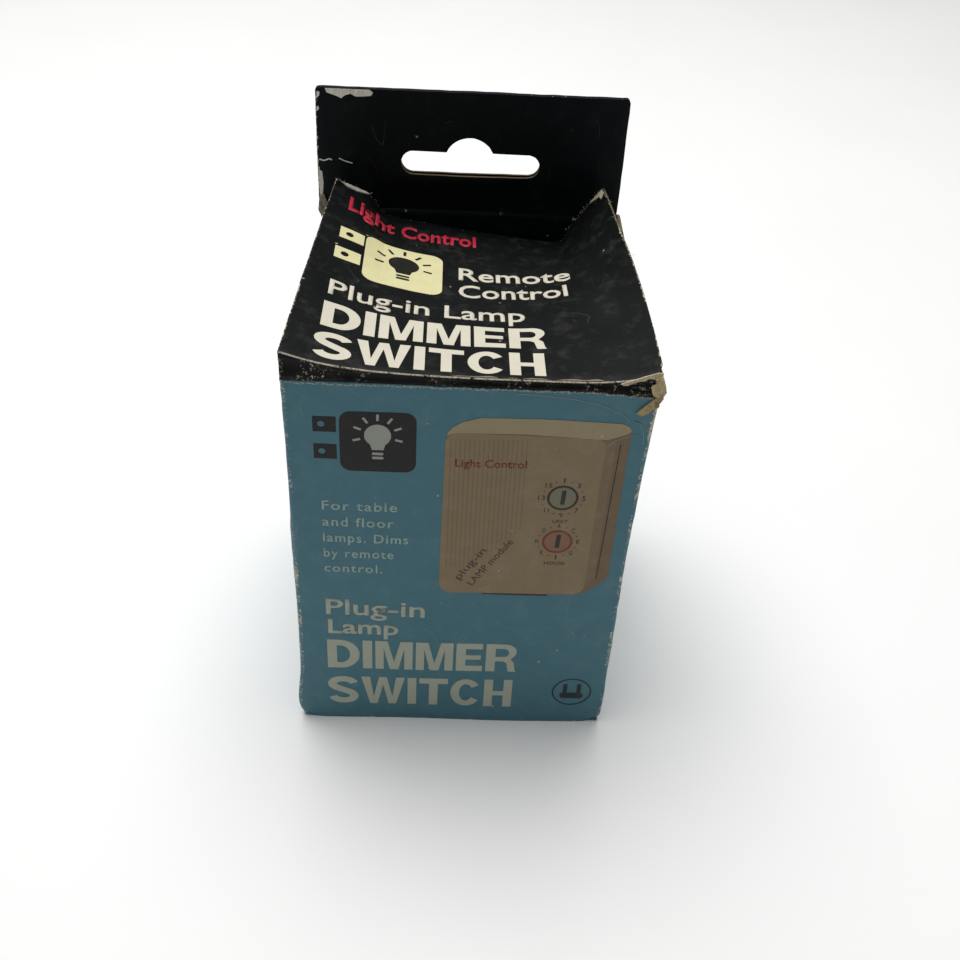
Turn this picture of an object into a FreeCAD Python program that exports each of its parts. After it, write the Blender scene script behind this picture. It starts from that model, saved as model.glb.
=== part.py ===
import FreeCAD, Part

# A boxed plug-in lamp dimmer. A folding carton with a hang tab holds a two-blade dimmer module
# that is set with two rotary code dials. Millimetres, +Z up, origin at the middle of the carton's
# base, -Y towards the printed front panel.
#
# The carton's pieces are flat or creased board. The module's pieces are drawn in the module's own
# axes: x across, y up, z out through the dial face, with z = 0 on the seam of its two shells.

import math
import os
import re

import Sketcher
from FreeCAD import Placement, Rotation, Vector

SIZES = [
    # carton
    ("carton_wide", 70), ("carton_deep", 72), ("carton_tall", 96), ("board", 0.6),
    ("slack", 0.1), ("tab_tall", 28), ("tab_round", 1.0), ("lap_tall", 12), ("lap_inset", 1.6),
    ("glue_wide", 12), ("glue_inset", 3), ("inner_flap_long", 46), ("side_flap_long", 30),
    # hang slot in the tab
    ("slot_wide", 31.4), ("slot_tall", 5.4), ("slot_up", 11.7), ("slot_shift", 0.0),
    ("bump_round", 5.7), ("bump_up", 0.5),
    # dished lid: heights of its corners and knees above the top crease, front then rear
    ("lid_front_left", 6.2), ("lid_front_bend_left", 3.4), ("lid_front_knee", 1.8),
    ("lid_front_bend_right", 1.8), ("lid_front_right", 4.2), ("lid_rear_left", 8),
    ("lid_rear_bend_left", 4.2), ("lid_rear_knee_left", -0.9), ("lid_rear_knee_right", -6),
    ("lid_rear_bend_right", -1.2), ("lid_rear_right", 7.9), ("front_bend_left", -26),
    ("front_knee_left", -10), ("front_knee_right", 14), ("front_bend_right", 27.5),
    ("rear_end_left", -31), ("rear_bend_left", -22.8), ("rear_knee_left", -19.5),
    ("rear_knee_right", 21.6), ("rear_bend_right", 23.6), ("rear_end_right", 30),
    ("lid_rear", 32.5),
    # tuck flap and dust flaps
    ("tuck_wide", 36), ("tuck_long", 12.5), ("tuck_round", 5), ("tuck_tilt", 16),
    ("tuck_drop", 0.45), ("dust_long", 22), ("dust_start", 1.6), ("dust_rear", 27),
    ("dust_taper", 19), ("dust_rise_left", 2.0), ("dust_rise_right", 1.2),
    ("dust_front_left", 1.0), ("dust_front_right", -0.4), ("dust_rear_left", -5.5),
    ("dust_rear_right", -13),
    # dimmer module shells
    ("module_wide", 54), ("module_tall", 70), ("cover_deep", 22), ("base_deep", 12),
    ("shell", 2), ("corner_round", 6), ("inner_round", 4), ("face_round", 3.5),
    ("rear_round", 2), ("seam_back", -5), ("module_floor", 2.85),
    ("rib_wide", 0.9), ("rib_tall", 0.4), ("rib_pitch", 1.5), ("rib_low", 8), ("rib_high", 62),
    ("rib_first", -23),
    # screws and their bosses
    ("boss_across", 20.5), ("boss_low", 6.5), ("boss_high", 63.5), ("boss_round", 3.6),
    ("pilot_round", 1.45), ("pilot_deep", 14), ("clear_round", 1.7), ("sink_round", 3.1),
    ("sink_deep", 4), ("screw_round", 1.4), ("screw_long", 19), ("head_round", 2.8),
    ("head_tall", 2), ("post_across", 21.5), ("post_low", 16.5), ("post_high", 56),
    ("post_round", 1.8),
    # code dials
    ("dial_across", 15), ("unit_up", 45.3), ("house_up", 25.6), ("dial_round", 5.05),
    ("dial_back", 17.3), ("dial_front", 21.6), ("shaft_round", 2), ("shaft_back", 8.5),
    ("ring_round", 5.9), ("ring_inner", 5.15), ("ring_back", 19), ("ring_front", 22.3),
    ("dial_hole", 5.95), ("groove_wide", 1.5), ("groove_long", 7.6), ("groove_deep", 1.4),
    ("switch_round", 7.3), ("switch_front", 15.5), ("shaft_bore", 2.05), ("wiper_round", 5.6),
    ("wiper_thick", 0.4), ("wiper_back", 15.9),
    # blades and outlet
    ("blade_pitch", 12.7), ("blade_up", 46), ("blade_thick", 1.5), ("blade_out", 17),
    ("line_wide", 6.35), ("neutral_wide", 7.9), ("blade_hole", 1.6), ("tab_wide", 4),
    ("outlet_wide", 24), ("outlet_deep", 20), ("outlet_tall", 13), ("outlet_proud", 1),
    ("slot_thin", 1.9), ("clip_wide", 3.2), ("clip_deep", 9), ("clip_tall", 9.5),
    ("clip_gap", 1.6), ("outlet_room", 0.1),
    # circuit board
    ("pcb_wide", 48), ("pcb_low", 13.5), ("pcb_high", 59), ("pcb_back", 3), ("pcb_thick", 1.6),
    ("choke_ring", 6), ("choke_thick", 2.4), ("choke_x", -13), ("choke_y", 23),
    ("wire_round", 0.8), ("wire_bend", 2),
]
NAMES = {name for name, _ in SIZES}
SCREW_PLACES = [("-boss_across", "boss_low"), ("boss_across", "boss_low"),
                ("-boss_across", "boss_high"), ("boss_across", "boss_high")]
POST_PLACES = [("-post_across", "post_low"), ("post_across", "post_low"),
               ("-post_across", "post_high"), ("post_across", "post_high")]
RIBS = 18
WINDINGS = 16
CHIP_PINS = 9
THROUGH_ALL = 1

doc = FreeCAD.newDocument("boxed_lamp_dimmer")
sheet = doc.addObject("Spreadsheet::Sheet", "Sheet")
for row, (name, value) in enumerate(SIZES, 1):
    sheet.set(f"A{row}", name)
    sheet.set(f"B{row}", str(value))
    sheet.setAlias(f"B{row}", name)
doc.recompute()
size = dict(SIZES)
subparts = {}


def linked(text):
    """An expression in which every driving dimension's name points at its cell."""
    return re.sub(r"[a-z_]{3,}", lambda m: f"Sheet.{m[0]}" if m[0] in NAMES else m[0], text)


def bind(thing, **sizes):
    for name, text in sizes.items():
        thing.setExpression(name, linked(text))
    return thing


def keep(label, thing):
    thing.Label = label
    subparts[label] = thing
    return thing


def place(thing, x, y, z):
    for axis, text in zip("xyz", (x, y, z)):
        thing.setExpression(f"Placement.Base.{axis}", linked(text))
    return thing


def place_in_module(thing, x="0", y="0", z="0"):
    """Puts a piece drawn in the module's axes where the module stands in the carton."""
    thing.Placement = Placement(Vector(), Rotation(Vector(1, 0, 0), 90))
    return place(thing, x, f"seam_back - ({z})", f"module_floor + ({y})")


# Part primitives

def box(label, size_x, size_y, size_z):
    made = doc.addObject("Part::Box", label)
    return bind(made, Length=size_x, Width=size_y, Height=size_z)


def carton_box(label, corner, sizes):
    return place(box(label, *sizes), *corner)


def module_box(label, corner, sizes):
    return place_in_module(box(label, *sizes), *corner)


def module_cylinder(label, centre, radius, length):
    made = bind(doc.addObject("Part::Cylinder", label), Radius=radius, Height=length)
    return place_in_module(made, *centre)


def cut(label, base, tool):
    made = doc.addObject("Part::Cut", label)
    made.Base, made.Tool = base, tool
    return made


def fuse(label, shapes):
    made = doc.addObject("Part::MultiFuse", label)
    made.Shapes = shapes
    return made


def group(label, shapes):
    made = doc.addObject("Part::Compound", label)
    made.Links = shapes
    return made


# PartDesign bodies

def new_body(label):
    return keep(label, doc.addObject("PartDesign::Body", label))


def new_sketch(body, name, role, lift):
    sketch = body.newObject("Sketcher::SketchObject", name)
    plane = next(f for f in body.Origin.OriginFeatures if f.Role == role)
    sketch.AttachmentSupport = [(plane, "")]
    sketch.MapMode = "FlatFace"
    sketch.setExpression("AttachmentOffset.Base.z", linked(lift))
    return sketch


def hold_point(sketch, geometry, point, x, y):
    """Ties one point of a sketch to its distances from the sketch's origin."""
    for kind, text in (("DistanceX", x), ("DistanceY", y)):
        index = sketch.addConstraint(Sketcher.Constraint(kind, -1, 1, geometry, point, 1.0))
        sketch.setExpression(f"Constraints[{index}]", linked(text))


def outline(body, name, role, corners, lift="0"):
    """A closed sketch of straight edges through the corners, each an (x, y) pair."""
    sketch = new_sketch(body, name, role, lift)
    count = len(corners)
    spots = [Vector(math.cos(2 * math.pi * i / count), math.sin(2 * math.pi * i / count), 0)
             for i in range(count)]
    for i in range(count):
        sketch.addGeometry(Part.LineSegment(spots[i], spots[(i + 1) % count]))
    for i in range(count):
        sketch.addConstraint(Sketcher.Constraint("Coincident", i, 2, (i + 1) % count, 1))
    for i, (x, y) in enumerate(corners):
        hold_point(sketch, i, 1, x, y)
    return sketch


def rectangle(body, name, role, low, high, lift="0"):
    corners = [low, (high[0], low[1]), high, (low[0], high[1])]
    return outline(body, name, role, corners, lift)


def circles(body, name, centres, radius, lift="0", role="XY_Plane"):
    sketch = new_sketch(body, name, role, lift)
    for i, (x, y) in enumerate(centres):
        sketch.addGeometry(Part.Circle(Vector(20 * i, 5, 0), Vector(0, 0, 1), 1))
        hold_point(sketch, i, 3, x, y)
        index = sketch.addConstraint(Sketcher.Constraint("Radius", i, 1.0))
        sketch.setExpression(f"Constraints[{index}]", linked(radius))
    return sketch


def pad(body, sketch, length, midplane=False, back=False):
    made = body.newObject("PartDesign::Pad", sketch.Name + "_pad")
    made.Profile = sketch
    made.Midplane, made.Reversed = midplane, back
    return bind(made, Length=length)


def pocket(body, sketch, length=None, back=False):
    """Cuts a sketch into a body, and stops if it cuts nothing."""
    doc.recompute()
    before = body.Shape.Volume
    made = body.newObject("PartDesign::Pocket", sketch.Name + "_pocket")
    made.Profile = sketch
    if length is None:
        made.Type, made.Midplane = THROUGH_ALL, True
    else:
        made.Reversed = back
        bind(made, Length=length)
    doc.recompute()
    if not body.Shape.Volume < before:
        raise RuntimeError(f"{made.Name} cuts nothing")
    return made


def fillet(body, feature, radius, wanted):
    """Rounds the edges of a feature for which wanted is true."""
    doc.recompute()
    names = [f"Edge{i}" for i, edge in enumerate(feature.Shape.Edges, 1) if wanted(edge)]
    if not names:
        raise RuntimeError(f"no edge of {feature.Name} to round")
    made = body.newObject("PartDesign::Fillet", feature.Name + "_round")
    made.Base = (feature, names)
    return bind(made, Radius=radius)


def upright(edge):
    low, high = edge.BoundBox.ZMin, edge.BoundBox.ZMax
    return high - low > 1 and edge.BoundBox.XLength < 1e-6 and edge.BoundBox.YLength < 1e-6


def at_level(level):
    return lambda edge: abs(edge.BoundBox.ZMin - level) + abs(edge.BoundBox.ZMax - level) < 1e-5


# The carton: four walls, the glued joint and the glued base

def make_carton():
    wide, deep, tall = "carton_wide", "carton_deep", "carton_tall"
    keep("front_panel", carton_box("front_panel", (f"-{wide}/2", f"-{deep}/2", "0"),
                                   (wide, "board", tall)))
    keep("back_panel", carton_box("back_panel", (f"-{wide}/2", f"{deep}/2 - board", "0"),
                                  (wide, "board", tall)))
    for label, x in (("left_panel", f"-{wide}/2"), ("right_panel", f"{wide}/2 - board")):
        keep(label, carton_box(label, (x, f"-{deep}/2 + board", "0"),
                               ("board", f"{deep} - 2*board", tall)))
    make_glue_flap()
    keep("tab_glue_lap", carton_box(
        "tab_glue_lap",
        (f"-{wide}/2 + board + lap_inset", f"{deep}/2 - 2*board", f"{tall} - lap_tall"),
        (f"{wide} - 2*board - 2*lap_inset", "board", "lap_tall - slack")))
    inside = f"{wide} - 2*board - 2*slack"
    start = f"-{wide}/2 + board + slack"
    front = f"-{deep}/2 + board + slack"
    keep("bottom_outer_flap", carton_box("bottom_outer_flap", (start, front, "0"),
                                         (inside, f"{deep} - 2*board - 2*slack", "board")))
    keep("bottom_inner_flap", carton_box(
        "bottom_inner_flap", (start, f"{deep}/2 - board - slack - inner_flap_long", "board"),
        (inside, "inner_flap_long", "board")))
    for label, x in (("bottom_left_flap", start),
                     ("bottom_right_flap", f"{wide}/2 - board - slack - side_flap_long")):
        keep(label, carton_box(label, (x, front, "2*board"),
                               ("side_flap_long", f"{deep} - 2*board - 2*slack", "board")))


def make_glue_flap():
    """The strip of the back panel that is folded inside the left wall and glued, ends tapered."""
    body = new_body("glue_flap")
    rear = "carton_deep/2 - 2*board - slack"
    corners = [(rear, "2*board + glue_inset"), (rear, "carton_tall - glue_inset"),
               (f"{rear} - glue_wide", "carton_tall - 3*glue_inset"),
               (f"{rear} - glue_wide", "2*board + 3*glue_inset")]
    pad(body, outline(body, "glue_outline", "YZ_Plane", corners, "-carton_wide/2 + board"), "board")


# The hang tab: two plies of board with a peg slot, on a crease above the back panel

def make_hang_slot(label):
    """The cutter for one ply: a round-ended slot with a half-round bump on top for a peg."""
    left = "slot_shift - slot_wide/2 + slot_tall/2"
    middle = "carton_tall + slot_up"
    y = "carton_deep/2 + 1"
    bar = carton_box(f"{label}_bar", (left, "carton_deep/2 - 3", f"{middle} - slot_tall/2"),
                     ("slot_wide - slot_tall", "4", "slot_tall"))
    rounds = []
    for end, x, z, radius in (("left", left, middle, "slot_tall/2"),
                              ("right", f"{left} + slot_wide - slot_tall", middle, "slot_tall/2"),
                              ("bump", "slot_shift", f"{middle} + bump_up", "bump_round")):
        made = bind(doc.addObject("Part::Cylinder", f"{label}_{end}"), Radius=radius, Height="4")
        made.Placement = Placement(Vector(), Rotation(Vector(1, 0, 0), 90))
        rounds.append(place(made, x, y, z))
    return fuse(f"{label}_cutter", [bar] + rounds)


def make_tab_ply(label, y):
    body = doc.addObject("PartDesign::Body", f"{label}_blank")
    sketch = rectangle(body, f"{label}_outline", "XZ_Plane", ("-carton_wide/2", "carton_tall"),
                       ("carton_wide/2", "carton_tall + tab_tall"), f"-({y})")
    ply = pad(body, sketch, "board")
    top = size["carton_tall"] + size["tab_tall"]
    fillet(body, ply, "tab_round",
           lambda edge: abs(edge.BoundBox.ZMin - top) < 1e-6 and edge.BoundBox.XLength < 1e-6)
    keep(label, cut(label, body, make_hang_slot(label)))


def make_hang_tab():
    make_tab_ply("hang_tab_rear_ply", "carton_deep/2")
    make_tab_ply("hang_tab_front_ply", "carton_deep/2 - board")


# The top closure: a dished lid with its crushed front crease, a tuck flap and two dust flaps

def band(points):
    """A strip of board through the points, as a closed outline one board thick."""
    under = [(x, f"{z} - board") for x, z in reversed(points)]
    return points + under


def above_crease(points):
    return [(x, f"carton_tall + ({z})") for x, z in points]


def loft(body, front, rear):
    made = body.newObject("PartDesign::AdditiveLoft", body.Name + "_loft")
    made.Profile = front
    made.Sections = [rear]
    made.Ruled = True
    return made


def make_lid():
    body = new_body("lid_panel")
    front = above_crease([("-carton_wide/2", "lid_front_left"),
                          ("front_bend_left", "lid_front_bend_left"),
                          ("front_knee_left", "lid_front_knee"),
                          ("front_knee_right", "lid_front_knee"),
                          ("front_bend_right", "lid_front_bend_right"),
                          ("carton_wide/2", "lid_front_right")])
    rear = above_crease([("rear_end_left", "lid_rear_left"),
                         ("rear_bend_left", "lid_rear_bend_left"),
                         ("rear_knee_left", "lid_rear_knee_left"),
                         ("rear_knee_right", "lid_rear_knee_right"),
                         ("rear_bend_right", "lid_rear_bend_right"),
                         ("rear_end_right", "lid_rear_right")])
    front_sketch = outline(body, "lid_front", "XZ_Plane", band(front), "carton_deep/2")
    rear_sketch = outline(body, "lid_back", "XZ_Plane", band(rear), "-lid_rear")
    loft(body, front_sketch, rear_sketch)
    crease = [("carton_wide/2", "carton_tall"), ("-carton_wide/2", "carton_tall")]
    riser = outline(body, "lid_riser", "XZ_Plane", front + crease, "carton_deep/2")
    pad(body, riser, "board", back=True)


def make_tuck_flap():
    """Hangs from the lid's rear edge, whose line runs down to the right, and leans forwards."""
    body = new_body("tuck_flap")
    sketch = rectangle(body, "tuck_outline", "XZ_Plane", ("-tuck_wide/2", "-tuck_long"),
                       ("tuck_wide/2", "0"))
    flap = pad(body, sketch, "board")
    low = -size["tuck_long"]
    fillet(body, flap, "tuck_round",
           lambda edge: abs(edge.BoundBox.ZMax - low) < 1e-6 and edge.BoundBox.XLength < 1e-6)
    run = size["rear_knee_right"] - size["rear_knee_left"]
    fall = size["lid_rear_knee_left"] - size["lid_rear_knee_right"]
    slope = Rotation(Vector(0, 1, 0), math.degrees(math.atan2(fall, run)))
    lean = Rotation(Vector(1, 0, 0), -size["tuck_tilt"])
    body.Placement = Placement(Vector(), slope.multiply(lean))
    place(body, "(rear_knee_left + rear_knee_right)/2", "lid_rear",
          "carton_tall + (lid_rear_knee_left + lid_rear_knee_right)/2 - board - tuck_drop")


def make_dust_flap(side, sign):
    """Folds in from a side wall: a short riser at the crease, then the flap, with a cut corner."""
    body = new_body(f"dust_flap_{side}")
    edge, inner = f"{sign}*carton_wide/2", f"{sign}*(carton_wide/2 - board)"
    tip = f"{sign}*(carton_wide/2 - dust_long)"

    def section(name, drop, lift):
        rise, level = f"carton_tall + dust_rise_{side}", f"carton_tall + ({drop})"
        corners = [(edge, "carton_tall"), (edge, rise), (tip, level), (tip, f"{level} - board"),
                   (inner, f"{rise} - board"), (inner, "carton_tall")]
        return outline(body, name, "XZ_Plane", corners, lift)

    front = section(f"dust_{side}_front", f"dust_front_{side}", "carton_deep/2 - dust_start")
    rear = section(f"dust_{side}_back", f"dust_rear_{side}", "-dust_rear")
    loft(body, front, rear)
    start = "-carton_deep/2 + dust_start - 1"
    corner = outline(body, f"dust_{side}_corner", "XY_Plane",
                     [(f"{sign}*(carton_wide/2 - board)", start),
                      (f"{sign}*(carton_wide/2 - dust_long - 1)", start),
                      (f"{sign}*(carton_wide/2 - dust_long - 1)", f"{start} + dust_taper")],
                     "carton_tall")
    pocket(body, corner)


# The module's two shells

def shell_blank(body, lift, length):
    """A rounded slab of the module's outline."""
    half = "module_wide/2"
    sketch = rectangle(body, f"{body.Name}_outline", "XY_Plane", (f"-{half}", "0"),
                       (half, "module_tall"), lift)
    slab = pad(body, sketch, length)
    return fillet(body, slab, "corner_round", upright)


def hollow(body, depth, back):
    half = "(module_wide/2 - shell)"
    sketch = rectangle(body, f"{body.Name}_inside", "XY_Plane", (f"-{half}", "shell"),
                       (half, "module_tall - shell"))
    room = pocket(body, sketch, depth, back)
    inner = size["module_wide"] / 2 - size["shell"] - 0.01
    fillet(body, room, "inner_round",
           lambda edge: upright(edge) and abs(abs(edge.BoundBox.XMin) - inner) < 0.1)


def outlet_notch(body, back):
    """The opening in the bottom wall that the outlet block fills."""
    across = "(outlet_wide/2 + outlet_room)"
    sketch = rectangle(body, f"{body.Name}_notch", "XY_Plane", (f"-{across}", "-1"),
                       (across, "shell + 1"))
    pocket(body, sketch, "outlet_deep/2 + outlet_room", back)


def make_front_cover():
    body = new_body("front_cover")
    slab = shell_blank(body, "0", "cover_deep")
    fillet(body, slab, "face_round", at_level(size["cover_deep"]))
    hollow(body, "cover_deep - shell", back=True)
    pad(body, circles(body, "cover_bosses", SCREW_PLACES, "boss_round", "slack"),
        "cover_deep - shell")
    pocket(body, circles(body, "cover_pilots", SCREW_PLACES, "pilot_round"), "pilot_deep", True)
    dials = [("dial_across", "unit_up"), ("dial_across", "house_up")]
    pocket(body, circles(body, "cover_dial_holes", dials, "dial_hole", "cover_deep"), "shell + 1")
    outlet_notch(body, back=True)
    sketch = rectangle(body, "cover_rib", "XY_Plane", ("rib_first", "rib_low"),
                       ("rib_first + rib_wide", "rib_high"), "cover_deep - slack")
    rib = pad(body, sketch, "rib_tall + slack")
    doc.recompute()
    ribs = body.newObject("PartDesign::LinearPattern", "cover_ribs")
    ribs.Originals = [rib]
    ribs.Direction = (sketch, ["H_Axis"])
    ribs.Occurrences = RIBS
    bind(ribs, Length=f"rib_pitch*{RIBS - 1}")
    body.Tip = ribs


def make_rear_base():
    body = new_body("rear_base")
    slab = shell_blank(body, "-base_deep", "base_deep")
    fillet(body, slab, "rear_round", at_level(-size["base_deep"]))
    hollow(body, "base_deep - shell", back=False)
    floor = "-base_deep + shell/2"
    pad(body, circles(body, "base_bosses", SCREW_PLACES, "boss_round", floor),
        "base_deep - shell/2 - slack")
    pad(body, circles(body, "base_posts", POST_PLACES, "post_round", floor),
        "base_deep - shell/2 + pcb_back")
    pocket(body, circles(body, "base_clear_holes", SCREW_PLACES, "clear_round", "-base_deep"))
    pocket(body, circles(body, "base_sinks", SCREW_PLACES, "sink_round", "-base_deep"),
           "sink_deep", True)
    for side, sign, wide in (("line", "-1", "line_wide"), ("neutral", "1", "neutral_wide")):
        x, half = f"{sign}*blade_pitch/2", f"({wide}/2 + slack/2)"
        thin = "(blade_thick/2 + slack/2)"
        sketch = rectangle(body, f"base_{side}_slot", "XY_Plane",
                           (f"{x} - {thin}", f"blade_up - {half}"),
                           (f"{x} + {thin}", f"blade_up + {half}"), "-base_deep - slack")
        pocket(body, sketch, "shell + 2*slack", True)
    outlet_notch(body, back=False)


# Fasteners, blades and outlet

def make_screws():
    screws = []
    seat = "-base_deep + sink_deep"
    for i, (x, y) in enumerate(SCREW_PLACES, 1):
        head = module_cylinder(f"screw_head_{i}", (x, y, f"{seat} - head_tall"), "head_round",
                               "head_tall")
        shank = module_cylinder(f"screw_shank_{i}", (x, y, seat), "screw_round", "screw_long")
        blank = fuse(f"screw_blank_{i}", [head, shank])
        groove = [module_box(f"screw_groove_{i}_{turn}", corner, sizes) for turn, corner, sizes in (
            ("a", (f"{x} - 1.7", f"{y} - 0.4", f"{seat} - head_tall - 0.1"), ("3.4", "0.8", "1.2")),
            ("b", (f"{x} - 0.4", f"{y} - 1.7", f"{seat} - head_tall - 0.1"), ("0.8", "3.4", "1.2")))]
        screws.append(cut(f"screw_{i}", blank, fuse(f"screw_cross_{i}", groove)))
    keep("housing_screws", group("housing_screws", screws))


def make_blade(label, sign, wide):
    """A flat blade with a drilled, chamfered tip, retaining shoulders and a solder tab."""
    body = new_body(label)
    tip, wall = "-(base_deep + blade_out)", "-(base_deep - shell)"
    half = f"{wide}/2"
    right = [(f"{half} - 1", tip), (half, f"{tip} + 1.5"), (half, wall), (f"{half} + 1.2", wall),
             (f"{half} + 1.2", f"{wall} + 1.4"), ("tab_wide/2", f"{wall} + 1.4"),
             ("tab_wide/2", f"{wall} + 6.5")]
    corners = [(f"blade_up + {y}", z) for y, z in right]
    corners += [(f"blade_up - ({y})", z) for y, z in reversed(right)]
    pad(body, outline(body, f"{label}_outline", "YZ_Plane", corners), "blade_thick", True)
    pocket(body, circles(body, f"{label}_hole", [("blade_up", f"{tip} + 4")], "blade_hole",
                         role="YZ_Plane"))
    place_in_module(body, f"{sign}*blade_pitch/2")


def make_outlet():
    """A block in the bottom wall with a narrow and a wide slot, each with a U-shaped clip."""
    blank = module_box("outlet_blank", ("-outlet_wide/2", "-outlet_proud", "-outlet_deep/2"),
                       ("outlet_wide", "outlet_tall", "outlet_deep"))
    tools = []
    for side, sign, wide in (("line", "-1", "line_wide"), ("neutral", "1", "neutral_wide")):
        x = f"{sign}*blade_pitch/2"
        tools.append(module_box(f"outlet_{side}_slot",
                                (f"{x} - slot_thin/2", "-outlet_proud - 1", f"-({wide} + 1)/2"),
                                ("slot_thin", "4", f"{wide} + 1")))
        tools.append(module_box(f"outlet_{side}_room",
                                (f"{x} - clip_wide/2 - slack", "1.5", "-clip_deep/2 - slack"),
                                ("clip_wide + 2*slack", "outlet_tall", "clip_deep + 2*slack")))
        outer = module_box(f"{side}_clip_outer", (f"{x} - clip_wide/2", "1.8", "-clip_deep/2"),
                           ("clip_wide", "clip_tall", "clip_deep"))
        inner = module_box(f"{side}_clip_inner", (f"{x} - clip_gap/2", "1", "-clip_deep/2 - 1"),
                           ("clip_gap", "clip_tall", "clip_deep + 2"))
        keep(f"{side}_contact", cut(f"{side}_contact", outer, inner))
    keep("outlet_block", cut("outlet_block", blank, fuse("outlet_cutter", tools)))


# Code dials and their switches

def make_dial(name, up):
    front_of_pcb = "(pcb_back + pcb_thick)"
    blank = module_cylinder(f"{name}_switch_blank", ("dial_across", up, front_of_pcb),
                            "switch_round", f"switch_front - {front_of_pcb}")
    bore = module_cylinder(f"{name}_switch_bore", ("dial_across", up, "shaft_back - 0.5"),
                           "shaft_bore", "10")
    keep(f"{name}_switch_body", cut(f"{name}_switch_body", blank, bore))

    body = new_body(f"{name}_dial")
    profile = [("0", "shaft_back"), ("shaft_round", "shaft_back"), ("shaft_round", "dial_back"),
               ("dial_round", "dial_back"), ("dial_round", "dial_front - 0.3"),
               ("dial_round - 0.3", "dial_front"), ("0", "dial_front")]
    sketch = outline(body, f"{name}_dial_profile", "XZ_Plane", profile)
    turned = body.newObject("PartDesign::Revolution", f"{name}_dial_turned")
    turned.Profile = sketch
    turned.ReferenceAxis = (sketch, ["V_Axis"])
    turned.Angle = 360
    groove = rectangle(body, f"{name}_dial_groove", "XY_Plane",
                       ("-groove_wide/2", "-groove_long/2"), ("groove_wide/2", "groove_long/2"),
                       "dial_front")
    pocket(body, groove, "groove_deep")
    place_in_module(body, "dial_across", up)

    ring = module_cylinder(f"{name}_ring_blank", ("dial_across", up, "ring_back"), "ring_round",
                           "ring_front - ring_back")
    hole = module_cylinder(f"{name}_ring_hole", ("dial_across", up, "ring_back - 1"),
                           "ring_inner", "ring_front - ring_back + 2")
    keep(f"{name}_dial_ring", cut(f"{name}_dial_ring", ring, hole))

    disc = module_cylinder(f"{name}_wiper_disc", ("dial_across", up, "wiper_back"),
                           "wiper_round", "wiper_thick")
    cuts = [module_cylinder(f"{name}_wiper_hub", ("dial_across", up, "wiper_back - 1"),
                            "shaft_round", "3")]
    for turn, (x, y) in enumerate((("2.6", "-0.6"), ("-0.6", "2.6"), ("-6.6", "-0.6")), 1):
        sizes = ("4", "1.2", "3") if turn != 2 else ("1.2", "4", "3")
        cuts.append(module_box(f"{name}_wiper_cut_{turn}",
                               (f"dial_across + {x}", f"{up} + {y}", "wiper_back - 1"), sizes))
    keep(f"{name}_wiper", cut(f"{name}_wiper", disc, fuse(f"{name}_wiper_cutter", cuts)))


# Circuit board and what is soldered to it

def make_circuit_board():
    body = new_body("circuit_board")
    half = "pcb_wide/2"
    sketch = rectangle(body, "pcb_outline", "XY_Plane", (f"-{half}", "pcb_low"),
                       (half, "pcb_high"), "pcb_back")
    slab = pad(body, sketch, "pcb_thick")
    fillet(body, slab, "1.5", upright)
    place_in_module(body)


def make_power_parts():
    front = "pcb_back + pcb_thick"
    foot = module_box("sink_foot", ("-23", "36", f"{front} + 0.2"), ("15", "21", "1.2"))
    wall = module_box("sink_wall", ("-23", "36", f"{front} + 0.2"), ("1.2", "21", "13"))
    fins = [module_box(f"sink_fin_{i}", ("-22", f"{37 + 4*i}", f"{front} + 1"), ("1.5", "1", "11"))
            for i in range(5)]
    keep("heat_sink", fuse("heat_sink", [foot, wall] + fins))
    level = f"{front} + 1.4"
    plate = module_box("triac_plate", ("-19.5", "40", level), ("10", "15.5", "1.3"))
    case = module_box("triac_case", ("-19.5", "40", f"{level} + 1"), ("10", "9", "3.4"))
    legs = [module_box(f"triac_leg_{i}", (f"{-17.3 + 2.5*i}", "34.5", f"{level} + 1.5"),
                       ("0.8", "6", "0.5")) for i in range(3)]
    hole = module_cylinder("triac_hole", ("-14.5", "52.5", f"{level} - 1"), "1.8", "4")
    keep("triac", cut("triac", fuse("triac_blank", [plate, case] + legs), hole))
    body = module_box("capacitor_blank", ("11", "16", "-9"), ("7", "17", "11.8"))
    keep("mains_capacitor", body)
    can = module_cylinder("filter_can", ("0", "0", "0"), "4.3", "13")
    can.Placement = Placement(Vector(), Rotation(Vector(1, 0, 0), 0))
    place(can, "14.6", "seam_back + 1.8", "module_floor + 38")
    keep("filter_capacitor", can)
    keep("signal_coil_can", module_box("signal_coil_can", ("-19", "46", "-8"), ("10", "10", "10.8")))


def make_choke():
    """A ring core standing flat on the board, wound with separate turns of enamelled wire."""
    level = "pcb_back + pcb_thick + choke_thick + 0.8"
    core = bind(doc.addObject("Part::Torus", "choke_core"), Radius1="choke_ring",
                Radius2="choke_thick")
    keep("choke_core", place_in_module(core, "choke_x", "choke_y", level))
    turns = []
    for i in range(WINDINGS):
        angle = 2 * math.pi * i / WINDINGS
        turn = bind(doc.addObject("Part::Torus", f"choke_turn_{i}"),
                    Radius1="choke_thick + 0.4", Radius2="0.3")
        tangent = Vector(-math.sin(angle), 0, math.cos(angle))
        turn.Placement = Placement(Vector(), Rotation(Vector(0, 0, 1), tangent))
        degrees = math.degrees(angle)
        place(turn, f"choke_x + choke_ring*cos({degrees})", f"seam_back - ({level})",
              f"module_floor + choke_y + choke_ring*sin({degrees})")
        turns.append(turn)
    keep("choke_winding", group("choke_winding", turns))


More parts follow.
